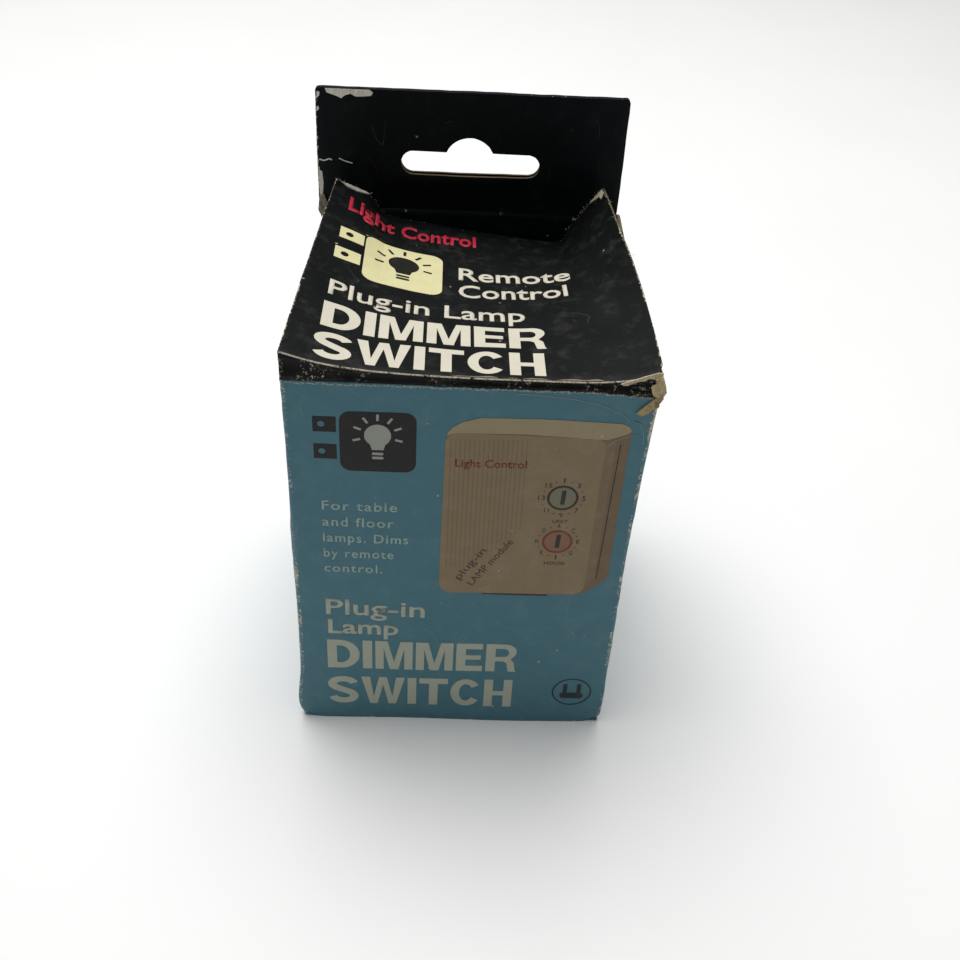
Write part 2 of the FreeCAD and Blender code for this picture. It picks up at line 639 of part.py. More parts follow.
def axial_part(label, x, y, z, radius, length, along_x):
    """A cylinder with a thin lead out of each end, lying across or up the board."""
    made = []
    for part, thick, long in (("body", radius, length), ("lead", 0.3, length + 3)):
        rod = bind(doc.addObject("Part::Cylinder", f"{label}_{part}"), Radius=str(thick),
                   Height=str(long))
        rod.Placement = Placement(Vector(), Rotation(Vector(0, 1, 0), 90 if along_x else 0))
        shift_x, shift_y = (long / 2, 0) if along_x else (0, long / 2)
        place(rod, f"{x - shift_x}", f"seam_back - ({z})", f"module_floor + {y - shift_y}")
        made.append(rod)
    return fuse(label, made)


def make_small_parts():
    front = "pcb_back + pcb_thick"
    resistors = [axial_part(f"resistor_{i}", x, y, f"{front} + 1.3", 1.15, 6.3, True)
                 for i, (x, y) in enumerate(((1.5, 18), (1.5, 22), (1.5, 26), (-17, 34)), 1)]
    keep("resistors", group("resistors", resistors))
    diodes = [axial_part(f"diode_{i}", -3.5 + 3.6 * i, 31, "1.5", 1.3, 5, False) for i in range(2)]
    diodes += [axial_part(f"diode_{i + 2}", -3.5 + 3.6 * i, 21, "1.5", 1.3, 5, False)
               for i in range(2)]
    keep("diodes", group("diodes", diodes))
    case = module_box("chip_case", ("-19.2", "19", "-1.4"), ("10.4", "23.4", "3.4"))
    pins = []
    for i in range(CHIP_PINS):
        for side, x in (("l", "-19.7"), ("r", "-9.3")):
            pins.append(module_box(f"chip_pin_{side}{i}", (x, f"{20.2 + 2.54*i}", "-0.2"),
                                   ("1", "0.8", "3.1")))
    keep("control_chip", fuse("control_chip", [case] + pins))


def bent_path(points, bend):
    """Straight runs through the points, joined by tangent arcs of one radius."""
    edges, start = [], points[0]
    for before, corner, after in zip(points, points[1:], points[2:]):
        back = (before - corner).normalize()
        ahead = (after - corner).normalize()
        half = back.getAngle(ahead) / 2
        reach = bend / math.tan(half)
        enter, leave = corner + back * reach, corner + ahead * reach
        inward = (back + ahead).normalize()
        middle = corner + inward * (bend / math.sin(half) - bend)
        edges.append(Part.LineSegment(start, enter).toShape())
        edges.append(Part.Arc(enter, middle, leave).toShape())
        start = leave
    edges.append(Part.LineSegment(start, points[-1]).toShape())
    return Part.Wire(edges)


def make_wire(label, x, stops):
    """An insulated lead inside the module, through (y, z) stops in the module's axes."""
    points = [Vector(x, size["seam_back"] - z, size["module_floor"] + y) for y, z in stops]
    path = bent_path(points, size["wire_bend"])
    heading = (points[1] - points[0]).normalize()
    ring = Part.Wire(Part.Circle(points[0], heading, size["wire_round"]).toShape())
    tube = path.makePipeShell([ring], True, True)
    made = doc.addObject("Part::Feature", label)
    made.Shape = tube
    keep(label, made)


def make_wires():
    half = size["blade_pitch"] / 2
    tab_end = -size["base_deep"] + size["shell"] + 6.6
    board_back = size["pcb_back"] - 0.1
    clip_top = 1.9 + size["clip_tall"]
    up = size["blade_up"]
    make_wire("neutral_wire", half, [(up, tab_end), (up, 0.2), (clip_top, 0.2)])
    make_wire("line_wire", -half, [(up, tab_end), (up, -0.6), (34, -0.6), (34, board_back)])
    make_wire("load_wire", -half, [(20, board_back), (20, -0.6), (clip_top, -0.6)])


def make_module():
    make_front_cover()
    make_rear_base()
    for label in ("front_cover", "rear_base"):
        place_in_module(subparts[label])
    make_screws()
    make_blade("line_blade", "-1", "line_wide")
    make_blade("neutral_blade", "1", "neutral_wide")
    make_outlet()
    make_dial("unit", "unit_up")
    make_dial("house", "house_up")
    make_circuit_board()
    make_power_parts()
    make_choke()
    make_small_parts()
    make_wires()


def write_parts():
    doc.recompute()
    for thing in doc.Objects:
        if {"Invalid", "Error"} & set(thing.State):
            raise RuntimeError(f"{thing.Label} failed: {thing.State}")
    for label, thing in subparts.items():
        if thing.Shape.isNull() or not thing.Shape.isValid() or not thing.Shape.Solids:
            raise RuntimeError(f"{label} has no valid shape")
    os.makedirs("parts", exist_ok=True)
    for label, thing in subparts.items():
        thing.Shape.exportStep(f"parts/{label}.step")


make_carton()
make_hang_tab()
make_lid()
make_tuck_flap()
make_dust_flap("left", "-1")
make_dust_flap("right", "1")
make_module()
write_parts()
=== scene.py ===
import math

import bmesh
import bpy
from mathutils import Matrix, Vector, noise


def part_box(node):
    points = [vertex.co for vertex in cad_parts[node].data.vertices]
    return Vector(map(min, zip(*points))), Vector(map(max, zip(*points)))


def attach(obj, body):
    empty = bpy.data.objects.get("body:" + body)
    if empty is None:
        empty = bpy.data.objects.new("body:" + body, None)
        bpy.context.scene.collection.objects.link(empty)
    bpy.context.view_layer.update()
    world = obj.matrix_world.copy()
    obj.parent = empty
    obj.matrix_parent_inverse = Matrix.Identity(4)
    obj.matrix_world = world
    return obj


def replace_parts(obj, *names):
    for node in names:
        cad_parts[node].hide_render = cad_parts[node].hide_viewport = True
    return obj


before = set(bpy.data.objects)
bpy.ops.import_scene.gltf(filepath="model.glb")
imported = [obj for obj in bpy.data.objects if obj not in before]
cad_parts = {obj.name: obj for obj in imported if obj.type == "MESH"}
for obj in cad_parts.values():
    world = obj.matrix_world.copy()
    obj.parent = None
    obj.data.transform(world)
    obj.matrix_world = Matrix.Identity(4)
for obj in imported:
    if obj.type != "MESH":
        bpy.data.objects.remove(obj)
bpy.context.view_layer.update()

# ---------------------------------------------------------------------------------------------
# Carton walls: one blank of 0.6 mm clay-coated board, printed blue, scored and folded round four
# sides. Handling has bowed the walls, crushed the bottom corners and rubbed the ink off the folds.
# ---------------------------------------------------------------------------------------------
MM = 0.001
WALL_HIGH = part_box("front_panel")[1]
BACK_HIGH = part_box("back_panel")[1]
HALF_WIDE = WALL_HIGH[0] / MM
HALF_DEEP = BACK_HIGH[1] / MM
TALL = WALL_HIGH[2] / MM
BOARD = 0.6
FOLD_ROUND = 0.8
WALL_STEPS = 44
BLUE_INK = (69, 117, 130)
WORN_PAPER = (214, 206, 188)
BLACK_INK = (15, 18, 17)
TORN_CORE = (138, 116, 84)
GREY_LINER = (150, 138, 118)


def colour(red, green, blue):
    """A paint chip's 0-255 values as the linear colour that a shader wants."""
    parts = [v / 255 for v in (red, green, blue)]
    return tuple(v / 12.92 if v < 0.04045 else ((v + 0.055) / 1.055) ** 2.4 for v in parts) + (1,)


class Reading:
    """A number that varies over a surface, so that its maths can be written as an expression."""

    def __init__(self, finish, socket):
        self.finish, self.socket = finish, socket

    def work(self, operation, *values):
        return self.finish.node("ShaderNodeMath", {"operation": operation}, *values)

    def __add__(self, other):
        return self.work("ADD", self, other)

    def __sub__(self, other):
        return self.work("SUBTRACT", self, other)

    def __rsub__(self, other):
        return self.work("SUBTRACT", other, self)

    def __mul__(self, other):
        return self.work("MULTIPLY", self, other)

    def __abs__(self):
        return self.work("ABSOLUTE", self)

    def least(self, other):
        return self.work("MINIMUM", self, other)

    def most(self, other):
        return self.work("MAXIMUM", self, other)

    def rise(self, low, high):
        """0 up to low and 1 from high on, with a soft step between; low > high falls instead."""
        return self.finish.node("ShaderNodeMapRange", {"interpolation_type": "SMOOTHSTEP"},
                                self, low, high, 0.0, 1.0)

    __radd__, __rmul__ = __add__, __mul__


class Finish:
    """One procedural material. Lengths are in millimetres on the object's own coordinates."""

    def __init__(self, name):
        self.material = bpy.data.materials.new(name)
        self.material.use_nodes = True
        self.tree = self.material.node_tree
        self.tree.nodes.clear()
        self.place = self.node("ShaderNodeTexCoord", {}, out="Object")

    def node(self, kind, settings, *values, out=0, **named):
        made = self.tree.nodes.new(kind)
        for key, value in settings.items():
            setattr(made, key, value)
        wanted = {**dict(enumerate(values)), **{k.replace("_", " "): v for k, v in named.items()}}
        for key, value in wanted.items():
            if isinstance(value, Reading):
                self.tree.links.new(value.socket, made.inputs[key])
            elif value is not None:
                made.inputs[key].default_value = value
        return Reading(self, made.outputs[out]) if made.outputs else None

    def axes(self):
        """x, y and z in millimetres."""
        apart = self.node("ShaderNodeSeparateXYZ", {}, self.place)
        outputs = apart.socket.node.outputs
        return [Reading(self, socket) * 1000.0 for socket in outputs]

    def grain(self, size, detail=4.0, stretch=(1, 1, 1), turn=(0, 0, 0), shift=0.0, rough=0.55):
        """Cloudy noise whose blotches are about size millimetres across."""
        spot = self.node("ShaderNodeMapping", {}, Vector=self.place, Location=(shift, shift, 0),
                         Rotation=turn, Scale=[1000 / size / s for s in stretch])
        return self.node("ShaderNodeTexNoise", {}, Vector=spot, Scale=1.0, Detail=detail,
                         Roughness=rough)

    def spots(self, pitch, randomness=1.0):
        """Distance from scattered points that lie pitch millimetres apart, as a share of it."""
        spot = self.node("ShaderNodeMapping", {}, Vector=self.place,
                         Scale=[1000 / pitch] * 3)
        return self.node("ShaderNodeTexVoronoi", {}, Vector=spot, Scale=1.0,
                         Randomness=randomness)

    def blend(self, share, first, second):
        return self.node("ShaderNodeMix", {"data_type": "RGBA"}, share, *[None] * 5, first, second,
                         out=2)

    def coat(self, paint, roughness, height=None, depth=0.05, **steady):
        """Puts the paint, roughness and a height map whose full range is depth millimetres on."""
        if height is not None:
            steady["Normal"] = self.node("ShaderNodeBump", {}, Strength=1.0, Distance=depth * MM,
                                         Height=height)
        shader = self.node("ShaderNodeBsdfPrincipled", {}, Base_Color=paint, Roughness=roughness,
                           **steady)
        self.node("ShaderNodeOutputMaterial", {}, shader)
        return self.material


def from_edge(finish):
    """Distance to the nearest fold or edge, as measured on the mesh."""
    return finish.node("ShaderNodeAttribute", {"attribute_name": "from_edge"}, out="Fac")


def front_edge(finish):
    """Distance to the edges of the front, for its printing."""
    x, y, z = finish.axes()
    return (HALF_WIDE - abs(x)).least(z).least(TALL - z)


def printed_board(name, ink, edge_of, haze=0.1, rub=0.0, core=0.0, gloss=0.3, under=None,
                  marks=None, hairs=0.35):
    """Printed coated board: ink rubbed to paper on the folds, torn to brown core, scratched."""
    finish = Finish(name)
    edge = edge_of(finish)
    ragged = finish.grain(1.5, 6.0, rough=0.7)
    fine = finish.grain(0.3, 3.0)
    patch = finish.grain(13.0, 3.0, shift=3.1)
    dust = finish.grain(4.0, 6.0, shift=7.7, rough=0.7)
    rubbed = (ragged * 2.2 + fine * 1.1 + patch * 1.6 - edge * 1.6).rise(2.45 - rub, 2.7 - rub)
    torn = (ragged * 1.5 + dust * 2.2 + patch * 1.2 - edge * 1.5).rise(2.95 - core, 3.15 - core)
    hair = abs(finish.grain(8.0, 1.0, stretch=(1, 1, 2.2), shift=11.3) - 0.5).rise(0.003, 0.001)
    scratch = hair * finish.grain(9.0, 3.0, shift=5.9).rise(0.56, 0.66) * hairs
    chip = finish.spots(6.5).rise(0.06, 0.035) * fine.rise(0.4, 0.6)
    mottle = (dust * 0.6 + fine * 0.4).rise(0.25, 0.75)
    base = colour(*ink)
    darker = tuple(v * 0.86 for v in base[:3]) + (1,)
    printed = finish.blend(mottle, darker, base)
    # under, when given, paints black over the print: a painted shadow.
    if under is not None:
        printed = finish.blend(under(finish, fine, ragged), printed, colour(*BLACK_INK))
    printed = finish.blend(dust.rise(0.48, 0.8) * haze, printed, colour(160, 160, 150))
    paper = finish.blend(fine.rise(0.3, 0.6), colour(*TORN_CORE), colour(*WORN_PAPER))
    if marks is not None:
        rubbed = rubbed.most(marks(finish, fine, ragged))
    worn = finish.blend(rubbed.most(scratch).most(chip * 0.7), printed, paper)
    worn = finish.blend(torn, worn, colour(*TORN_CORE))
    bare = rubbed.most(torn)
    height = fine * 0.25 + patch * 0.5 - bare * 0.5 - chip * 0.5
    return finish.coat(worn, bare * 0.33 + 0.45 + dust * 0.1, height, 0.08,
                       Specular_IOR_Level=gloss)


def raw_board(name, tint, streak=0.3):
    """Unprinted side or cut edge: pressed grey-brown fibres with darker and paler flecks."""
    finish = Finish(name)
    fibre = finish.grain(0.5, 5.0, stretch=(1, 1, 4), rough=0.7)
    cloud = finish.grain(6.0, 4.0, shift=2.3)
    fleck = finish.spots(1.3).rise(0.16, 0.08)
    base = colour(*tint)
    dark = tuple(v * 0.55 for v in base[:3]) + (1,)
    paint = finish.blend(fibre.rise(0.3, 0.7) * (1 - streak) + cloud * streak, dark, base)
    paint = finish.blend(fleck * 0.5, paint, colour(88, 72, 52))
    return finish.coat(paint, cloud * 0.15 + 0.8, fibre, 0.06)


def show(mesh, name, body, materials):
    """Hangs a mesh in the scene as a finished piece that rides on a body."""
    piece = bpy.data.objects.new(name, mesh)
    bpy.context.scene.collection.objects.link(piece)
    for material in materials:
        mesh.materials.append(material)
    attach(piece, body)
    return piece


def grid_piece(name, rows, body, materials, closed=False, smooth=True):
    """A sheet through rows of millimetre points; closed joins each row's end to its start."""
    across = len(rows[0])
    points = [Vector(p) * MM for row in rows for p in row]
    last = across if closed else across - 1
    faces = [(r * across + c, r * across + (c + 1) % across, (r + 1) * across + (c + 1) % across,
              (r + 1) * across + c) for r in range(len(rows) - 1) for c in range(last)]
    mesh = bpy.data.meshes.new(name)
    mesh.from_pydata(points, [], faces)
    mesh.shade_smooth() if smooth else mesh.shade_flat()
    return show(mesh, name, body, materials)


def thicken(piece, thickness, inner=1, rim=2):
    """Gives a sheet its board thickness on the inner side, with its own liner and cut edge."""
    wall = piece.modifiers.new("board", "SOLIDIFY")
    wall.thickness, wall.offset = thickness * MM, -1
    wall.material_offset, wall.material_offset_rim = inner, rim
    return piece


def dent(x, y, z, size, depth):
    return noise.noise(Vector((x, y, z)) / size) * depth


def wall_bow(x, z, amount, half):
    """How far a wall stands out of its plane, at x along it and height z."""
    return amount * (1 - (x / half) ** 2) * math.sin(math.pi * min(max(z / TALL, 0), 1)) ** 0.7


def lean(x, y, z, pinch=3.6):
    """How far the carton's top has been pushed to the right; pinch is at its rear left corner."""
    up = max(0.0, (z - 50) / (TALL - 50)) ** 1.5 * (x / HALF_WIDE) ** 2
    ahead = min(max((HALF_DEEP - y) / (2 * HALF_DEEP), 0), 1)
    if x > 0:
        return up * (0.4 + 1.1 * ahead)
    return up * (pinch * (1 - ahead) ** 2 - 0.5 * ahead)


def front_bulge(x, z):
    """How far the front stands out: bowed, buckled, and its right upper corner bent forwards."""
    corner = max(0.0, (x - 31.5) * 0.7 + (z - 89) * 0.72)
    return wall_bow(x, z, 0.45, HALF_WIDE) + dent(x, 0, z, 22, 0.25) + 0.15 * corner


def front_face(x, z, lift=0.0):
    """A point on the printed front, lift millimetres proud of it."""
    return (x, -HALF_DEEP - front_bulge(x, z) - lift, z)


def wall_loop():
    """Points round the four walls with the direction each faces, anticlockwise from above."""
    loop = []
    sides = [((0, -1), HALF_DEEP, HALF_WIDE, 0.45), ((1, 0), HALF_WIDE, HALF_DEEP, -0.7),
             ((0, 1), HALF_DEEP, HALF_WIDE, 0.3), ((-1, 0), HALF_WIDE, HALF_DEEP, -0.55)]
    for (nx, ny), reach, half, amount in sides:
        flat = half - FOLD_ROUND
        for i in range(WALL_STEPS + 1):
            s = -flat + 2 * flat * i / WALL_STEPS
            loop.append((nx * reach - ny * s, ny * reach + nx * s, (nx, ny), s, half, amount))
        centre = (nx * (reach - FOLD_ROUND) - ny * flat, ny * (reach - FOLD_ROUND) + nx * flat)
        for i in range(1, 4):
            a = math.atan2(ny, nx) + math.pi / 2 * i / 4
            out = (math.cos(a), math.sin(a))
            loop.append((centre[0] + FOLD_ROUND * out[0], centre[1] + FOLD_ROUND * out[1], out,
                         half, half, 0))
    return loop


def wall_point(x, y, out, along, half, amount, z):
    push = wall_bow(along, z, amount, half)
    if out == (0, -1):
        push = front_bulge(x, z)
    elif amount:
        push += dent(x, y, z, 22, 0.45)
    near = math.hypot(abs(x) - HALF_WIDE, abs(y) - HALF_DEEP)
    crush = math.exp(-(z / 1.8) ** 2 - (near / 3.0) ** 2) * (1.3 if x > 0 else 0.8)
    flare = 1.1 * math.exp(-((z - 6) / 7) ** 2 - (near / 6) ** 2) if x < 0 else 0
    nick = 0.18 * dent(x, y, z, 1.3, 1) * math.exp(-(near / 1.5) ** 2)
    push += nick
    return (x + out[0] * push - math.copysign(crush, x) * 0.7 - flare + lean(x, y, z),
            y + out[1] * push - math.copysign(crush, y) * 0.7, z)


wall_levels = [0, 0.4, 0.9, 1.6, 2.5, 4, 6] + [8 + 3.0 * i for i in range(28)]
wall_levels += [90.5, 92, 93.4, 94.6, 95.4, TALL]


def painted_fold_shadow(finish, fine, ragged):
    """A painted shadow under the lid's fold: black runs a little way down the front and the sides,
    unevenly.
    """
    x, y, z = finish.axes()
    line = z + x * 0.012 + ragged * 0.7 + fine * 0.3
    return line.rise(TALL + 0.2, TALL + 0.25)


def top_rub(finish, fine, ragged):
    """A pale frayed line where the ink has cracked just under the lid's fold."""
    x, y, z = finish.axes()
    line = abs(z + ragged * 1.8 - (TALL + 0.35))
    return line.rise(0.3, 0.1) * fine.rise(0.4, 0.6) * 0.55


walls = grid_piece(
    "carton_walls", [[wall_point(*spot, z) for spot in wall_loop()] for z in wall_levels],
    "carton",
    # Its black top line is painted shadow under the lid's fold.
    [printed_board("blue_printed_board", BLUE_INK, from_edge, rub=-0.03, core=-0.2,
                   under=painted_fold_shadow, marks=top_rub),
     raw_board("grey_board_liner", GREY_LINER), raw_board("cut_board_edge", TORN_CORE)],
    closed=True)
gaps = walls.data.attributes.new("from_edge", "FLOAT", "POINT")
for i, (_, _, _, along, half, _) in enumerate(wall_loop() * len(wall_levels)):
    z = wall_levels[i // len(wall_loop())]
    gaps.data[i].value = max(min(half - FOLD_ROUND - abs(along), z - 0.25,
                                       TALL + 0.4 - z), 0)
thicken(walls, BOARD)
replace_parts(walls, "front_panel", "left_panel", "right_panel", "back_panel")

# ---------------------------------------------------------------------------------------------
# Carton base and seam: four flaps folded in and glued flat, and a strip glued behind the rear
# left fold. Only the outermost flap shows ink; the rest is bare board.
# ---------------------------------------------------------------------------------------------


def repaint(material, *nodes):
    """Gives carried-over pieces a finished material."""
    for node in nodes:
        mesh = bpy.data.objects[node].data
        mesh.materials.clear()
        mesh.materials.append(material)


def base_edge(finish):
    x, y, z = finish.axes()
    return (HALF_WIDE - abs(x)).least(HALF_DEEP - abs(y))


repaint(printed_board("blue_base_board", BLUE_INK, base_edge, rub=0.2), "bottom_outer_flap")
inner_board = raw_board("inner_flap_board", (158, 144, 120))
repaint(inner_board, "bottom_inner_flap", "bottom_left_flap", "bottom_right_flap")
SEAM_LOW, SEAM_HIGH = ([v / MM for v in corner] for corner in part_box("glue_flap"))


def seam_point(back, up):
    """A point on the glued face of the strip, against the inside of the left wall."""
    y = SEAM_HIGH[1] + (SEAM_LOW[1] - SEAM_HIGH[1]) * back
    z = SEAM_LOW[2] + back * 2 + (SEAM_HIGH[2] - SEAM_LOW[2] - back * 4) * up
    spot = wall_point(-HALF_WIDE, y, (-1, 0), -y, HALF_DEEP, -0.55, z)
    return (spot[0] + BOARD + 0.02, y, z)


seam = grid_piece("glue_strip", [[seam_point(i / 6, j / 24) for i in range(7)] for j in range(25)],
                  "carton", [inner_board] * 3)
thicken(seam, BOARD)
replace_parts(seam, "glue_flap")

# ---------------------------------------------------------------------------------------------
# Hang tab: the back wall carried up, folded over into two plies and tucked back behind the wall,
# printed black, with a punched peg slot. The plies have parted a little under the slot.
# ---------------------------------------------------------------------------------------------
TAB_LOW, TAB_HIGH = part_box("hang_tab_front_ply")
TAB_TALL = TAB_HIGH[2] / MM - TALL
TAB_HALF = HALF_WIDE - 0.6
SLOT_SHIFT, SLOT_UP, SLOT_WIDE, SLOT_TALL = 0.0, 11.7, 31.4, 5.4
BUMP_ROUND, BUMP_UP, BUMP_SHIFT = 5.7, 0.5, -0.3


def arc(x, y, radius, start, end, steps):
    """Points on an arc, its angles in degrees."""
    turns = [math.radians(start + (end - start) * i / steps) for i in range(steps + 1)]
    return [(x + radius * math.cos(a), y + radius * math.sin(a)) for a in turns]


def rounded(left, low, right, high, radius, steps=6):
    """The outline of a rectangle with rounded corners."""
    return (arc(right - radius, low + radius, radius, -90, 0, steps)
            + arc(right - radius, high - radius, radius, 0, 90, steps)
            + arc(left + radius, high - radius, radius, 90, 180, steps)
            + arc(left + radius, low + radius, radius, 180, 270, steps))


def flat_shape(loops, thick=0.0, bevel=0.0):
    """A mesh of filled outlines, in millimetres; an outline inside another is a hole."""
    drawing = bpy.data.curves.new("outline", "CURVE")
    drawing.dimensions, drawing.fill_mode = "2D", "BOTH"
    drawing.extrude, drawing.bevel_depth, drawing.bevel_resolution = thick / 2, bevel, 1
    for loop in loops:
        line = drawing.splines.new("POLY")
        line.points.add(len(loop) - 1)
        for point, (x, y) in zip(line.points, loop):
            point.co = (x, y, 0, 1)
        line.use_cyclic_u = True
    return as_mesh(drawing)


def as_mesh(data):
    """Turns curve or text data into a bmesh and clears the data away."""
    holder = bpy.data.objects.new("drawing", data)
    bpy.context.scene.collection.objects.link(holder)
    seen = holder.evaluated_get(bpy.context.evaluated_depsgraph_get())
    mesh = bpy.data.meshes.new_from_object(seen)
    work = bmesh.new()
    work.from_mesh(mesh)
    bpy.data.meshes.remove(mesh)
    bpy.data.objects.remove(holder)
    return work


def cut_in_cells(work, cell):
    """Cuts a flat mesh along a square grid, so that it can follow a curved surface."""
    for axis in (0, 1):
        spread = [v.co[axis] for v in work.verts]
        line = (math.floor(min(spread) / cell) + 1) * cell
        while line < max(spread):
            point, normal = [0, 0, 0], [0, 0, 0]
            point[axis], normal[axis] = line, 1
            geometry = work.verts[:] + work.edges[:] + work.faces[:]
            bmesh.ops.bisect_plane(work, geom=geometry, plane_co=point, plane_no=normal)
            line += cell


def tab_face(x, up, lift=0.0):
    """A point on the front of the hang tab, up millimetres above its crease."""
    bend = 0.35 * math.sin(math.pi * up / TAB_TALL) + dent(x, 5, up, 14, 0.3) * min(up / 8, 1)
    return (x, TAB_LOW[1] / MM - lift - bend, TALL + up)


def slot_outline():
    half = SLOT_TALL / 2
    left, right = SLOT_SHIFT - SLOT_WIDE / 2 + half, SLOT_SHIFT + SLOT_WIDE / 2 - half
    meet = math.degrees(math.asin((half - BUMP_UP) / BUMP_ROUND))
    bump = arc(BUMP_SHIFT, SLOT_UP + BUMP_UP, BUMP_ROUND, meet, 180 - meet, 16)
    return arc(right, SLOT_UP, half, -90, 90, 10) + bump + arc(left, SLOT_UP, half, 90, 270, 10)


def tab_edge(finish):
    """Distance to the tab's rim; the left rim is worn most, and the crease least."""
    x, y, z = finish.axes()
    side = (TAB_HALF - x + 0.3).least((TAB_HALF + x) * 0.6)
    return side.least((TALL + TAB_TALL + 0.35) - z).least((z - TALL) * 1.6 + 0.7)


def hang_tab_ply(name, deep, thick, spread):
    """One ply of the tab; spread is how far the plies have parted along the slot's lower side."""
    work = flat_shape([rounded(-TAB_HALF, 0, TAB_HALF, TAB_TALL, 0.9), slot_outline()],
                      thick - 0.16, 0.08)
    bmesh.ops.remove_doubles(work, verts=work.verts[:], dist=0.001)
    cut_in_cells(work, 2.5)
    for vert in work.verts:
        x, up, out = vert.co
        ragged = dent(x, up, 9, 0.9, 0.10)
        gape = math.exp(-((up - SLOT_UP + 3) / 3.5) ** 2 - (x / 19) ** 4) * spread
        x, y, z = tab_face(x, max(up, 0), out - thick / 2 - deep + gape)
        vert.co = Vector((x + ragged, y, z + (ragged if up > 2 else 0))) * MM
    bmesh.ops.recalc_face_normals(work, faces=work.faces[:])
    for face in work.faces:
        folded = face.normal.z > 0.5 and face.calc_center_median().z > (TALL + TAB_TALL - 2) * MM
        face.material_index = 1 if abs(face.normal.y) < 0.5 and not folded else 0
        face.smooth = abs(face.normal.y) > 0.9
    mesh = bpy.data.meshes.new(name)
    work.to_mesh(mesh)
    work.free()
    return show(mesh, name, "carton", [tab_black, tab_rim])


tab_black = printed_board("black_tab_board", (6, 14, 17), tab_edge, haze=0.02, rub=-0.02,
                          gloss=0.1, hairs=0.08)
tab_rim = raw_board("tab_cut_edge", (104, 86, 62))
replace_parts(hang_tab_ply("hang_tab_front", 0.0, BOARD, 1.0), "hang_tab_front_ply")
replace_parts(hang_tab_ply("hang_tab_rear", BOARD, BOARD, 0.0), "hang_tab_rear_ply")
lap_black = printed_board("black_lap_board", (6, 14, 17), base_edge, haze=0.03, rub=-0.4,
                          core=-0.4, gloss=0.1)
LAP_LOW, LAP_HIGH = ([v / MM for v in corner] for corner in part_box("tab_glue_lap"))


def lap_point(across, up):
    """A point on the lap's glued face, against the inside of the back wall."""
    x = LAP_HIGH[0] + (LAP_LOW[0] - LAP_HIGH[0]) * across
    z = LAP_LOW[2] + (LAP_HIGH[2] - LAP_LOW[2]) * up
    spot = wall_point(x, HALF_DEEP, (0, 1), -x, HALF_WIDE, 0.3, z)
    return (spot[0], spot[1] - BOARD - 0.02, z)


lap = grid_piece("tab_lap", [[lap_point(i / 40, j / 8) for i in range(41)] for j in range(9)],
                 "carton", [lap_black] * 3)
thicken(lap, BOARD)
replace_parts(lap, "tab_glue_lap")

# ---------------------------------------------------------------------------------------------
# Lid: the same board carried over the front wall and folded back, printed black. Years of
# stacking have crushed its front fold into a low riser and dished it, leaving two raised ears.
# ---------------------------------------------------------------------------------------------
LID_REAR = 32.5
LID_FRONT_LINE = [(-35, 6.4), (-26, 3.4), (-10, 2.0), (14, 1.7), (27.5, 1.8), (35, 4.2)]
LID_REAR_LINE = [(-31, 8.1), (-22.8, 4.2), (-19.5, -0.9), (21.6, -6.0), (23.6, -1.2), (30, 7.9)]
LID_KNEES = len(LID_FRONT_LINE) - 1
LID_CREASE_ROUND = 0.35
LID_STEPS_BACK = 45
LID_STEPS_ACROSS = 110
LID_FIRST_STEP = 0.012


def along_line(line, share, ease):
    """A point at a share, from 0 to LID_KNEES, along a bent line whose knees are eased."""
    def sharp(s):
        i = min(max(int(math.floor(s)), 0), LID_KNEES - 1)
        (x0, h0), (x1, h1) = line[i], line[i + 1]
        return Vector((x0 + (x1 - x0) * (s - i), h0 + (h1 - h0) * (s - i)))
    eased = [sharp(share + ease * shift) for shift in (-1, -0.5, 0, 0.5, 1)]
    return sum(eased, Vector((0, 0))) / 5


def lid_flat(share, back):
    """Where the lid is before it sags: x, and height above the top of the walls."""
    ease = 0.12 + 0.35 * math.sqrt(max(1 - back, 0))
    return along_line(LID_FRONT_LINE, share, ease).lerp(along_line(LID_REAR_LINE, share, ease),
                                                        back)


def lid_point(share, back):
    """A point of the lid's upper side, back from 0 at the front fold to 1 at the rear edge."""
    x, rise = lid_flat(share, back)
    belly = math.sin(math.pi * back)
    rise += (1.5 * math.exp(-((x - 22) / 8) ** 2) - 0.5 * math.exp(-((x + 5) / 12) ** 2)) * belly
    rise += dent(x, back * 68, 3, 11, 0.35) * math.sin(math.pi * min(back * 4, 1) / 2)
    y = -HALF_DEEP + (LID_REAR + HALF_DEEP) * back
    x += 0.1 * max(x - 22, 0) * belly
    return Vector((x + lean(x, y, TALL, 1.3), y, TALL + rise))


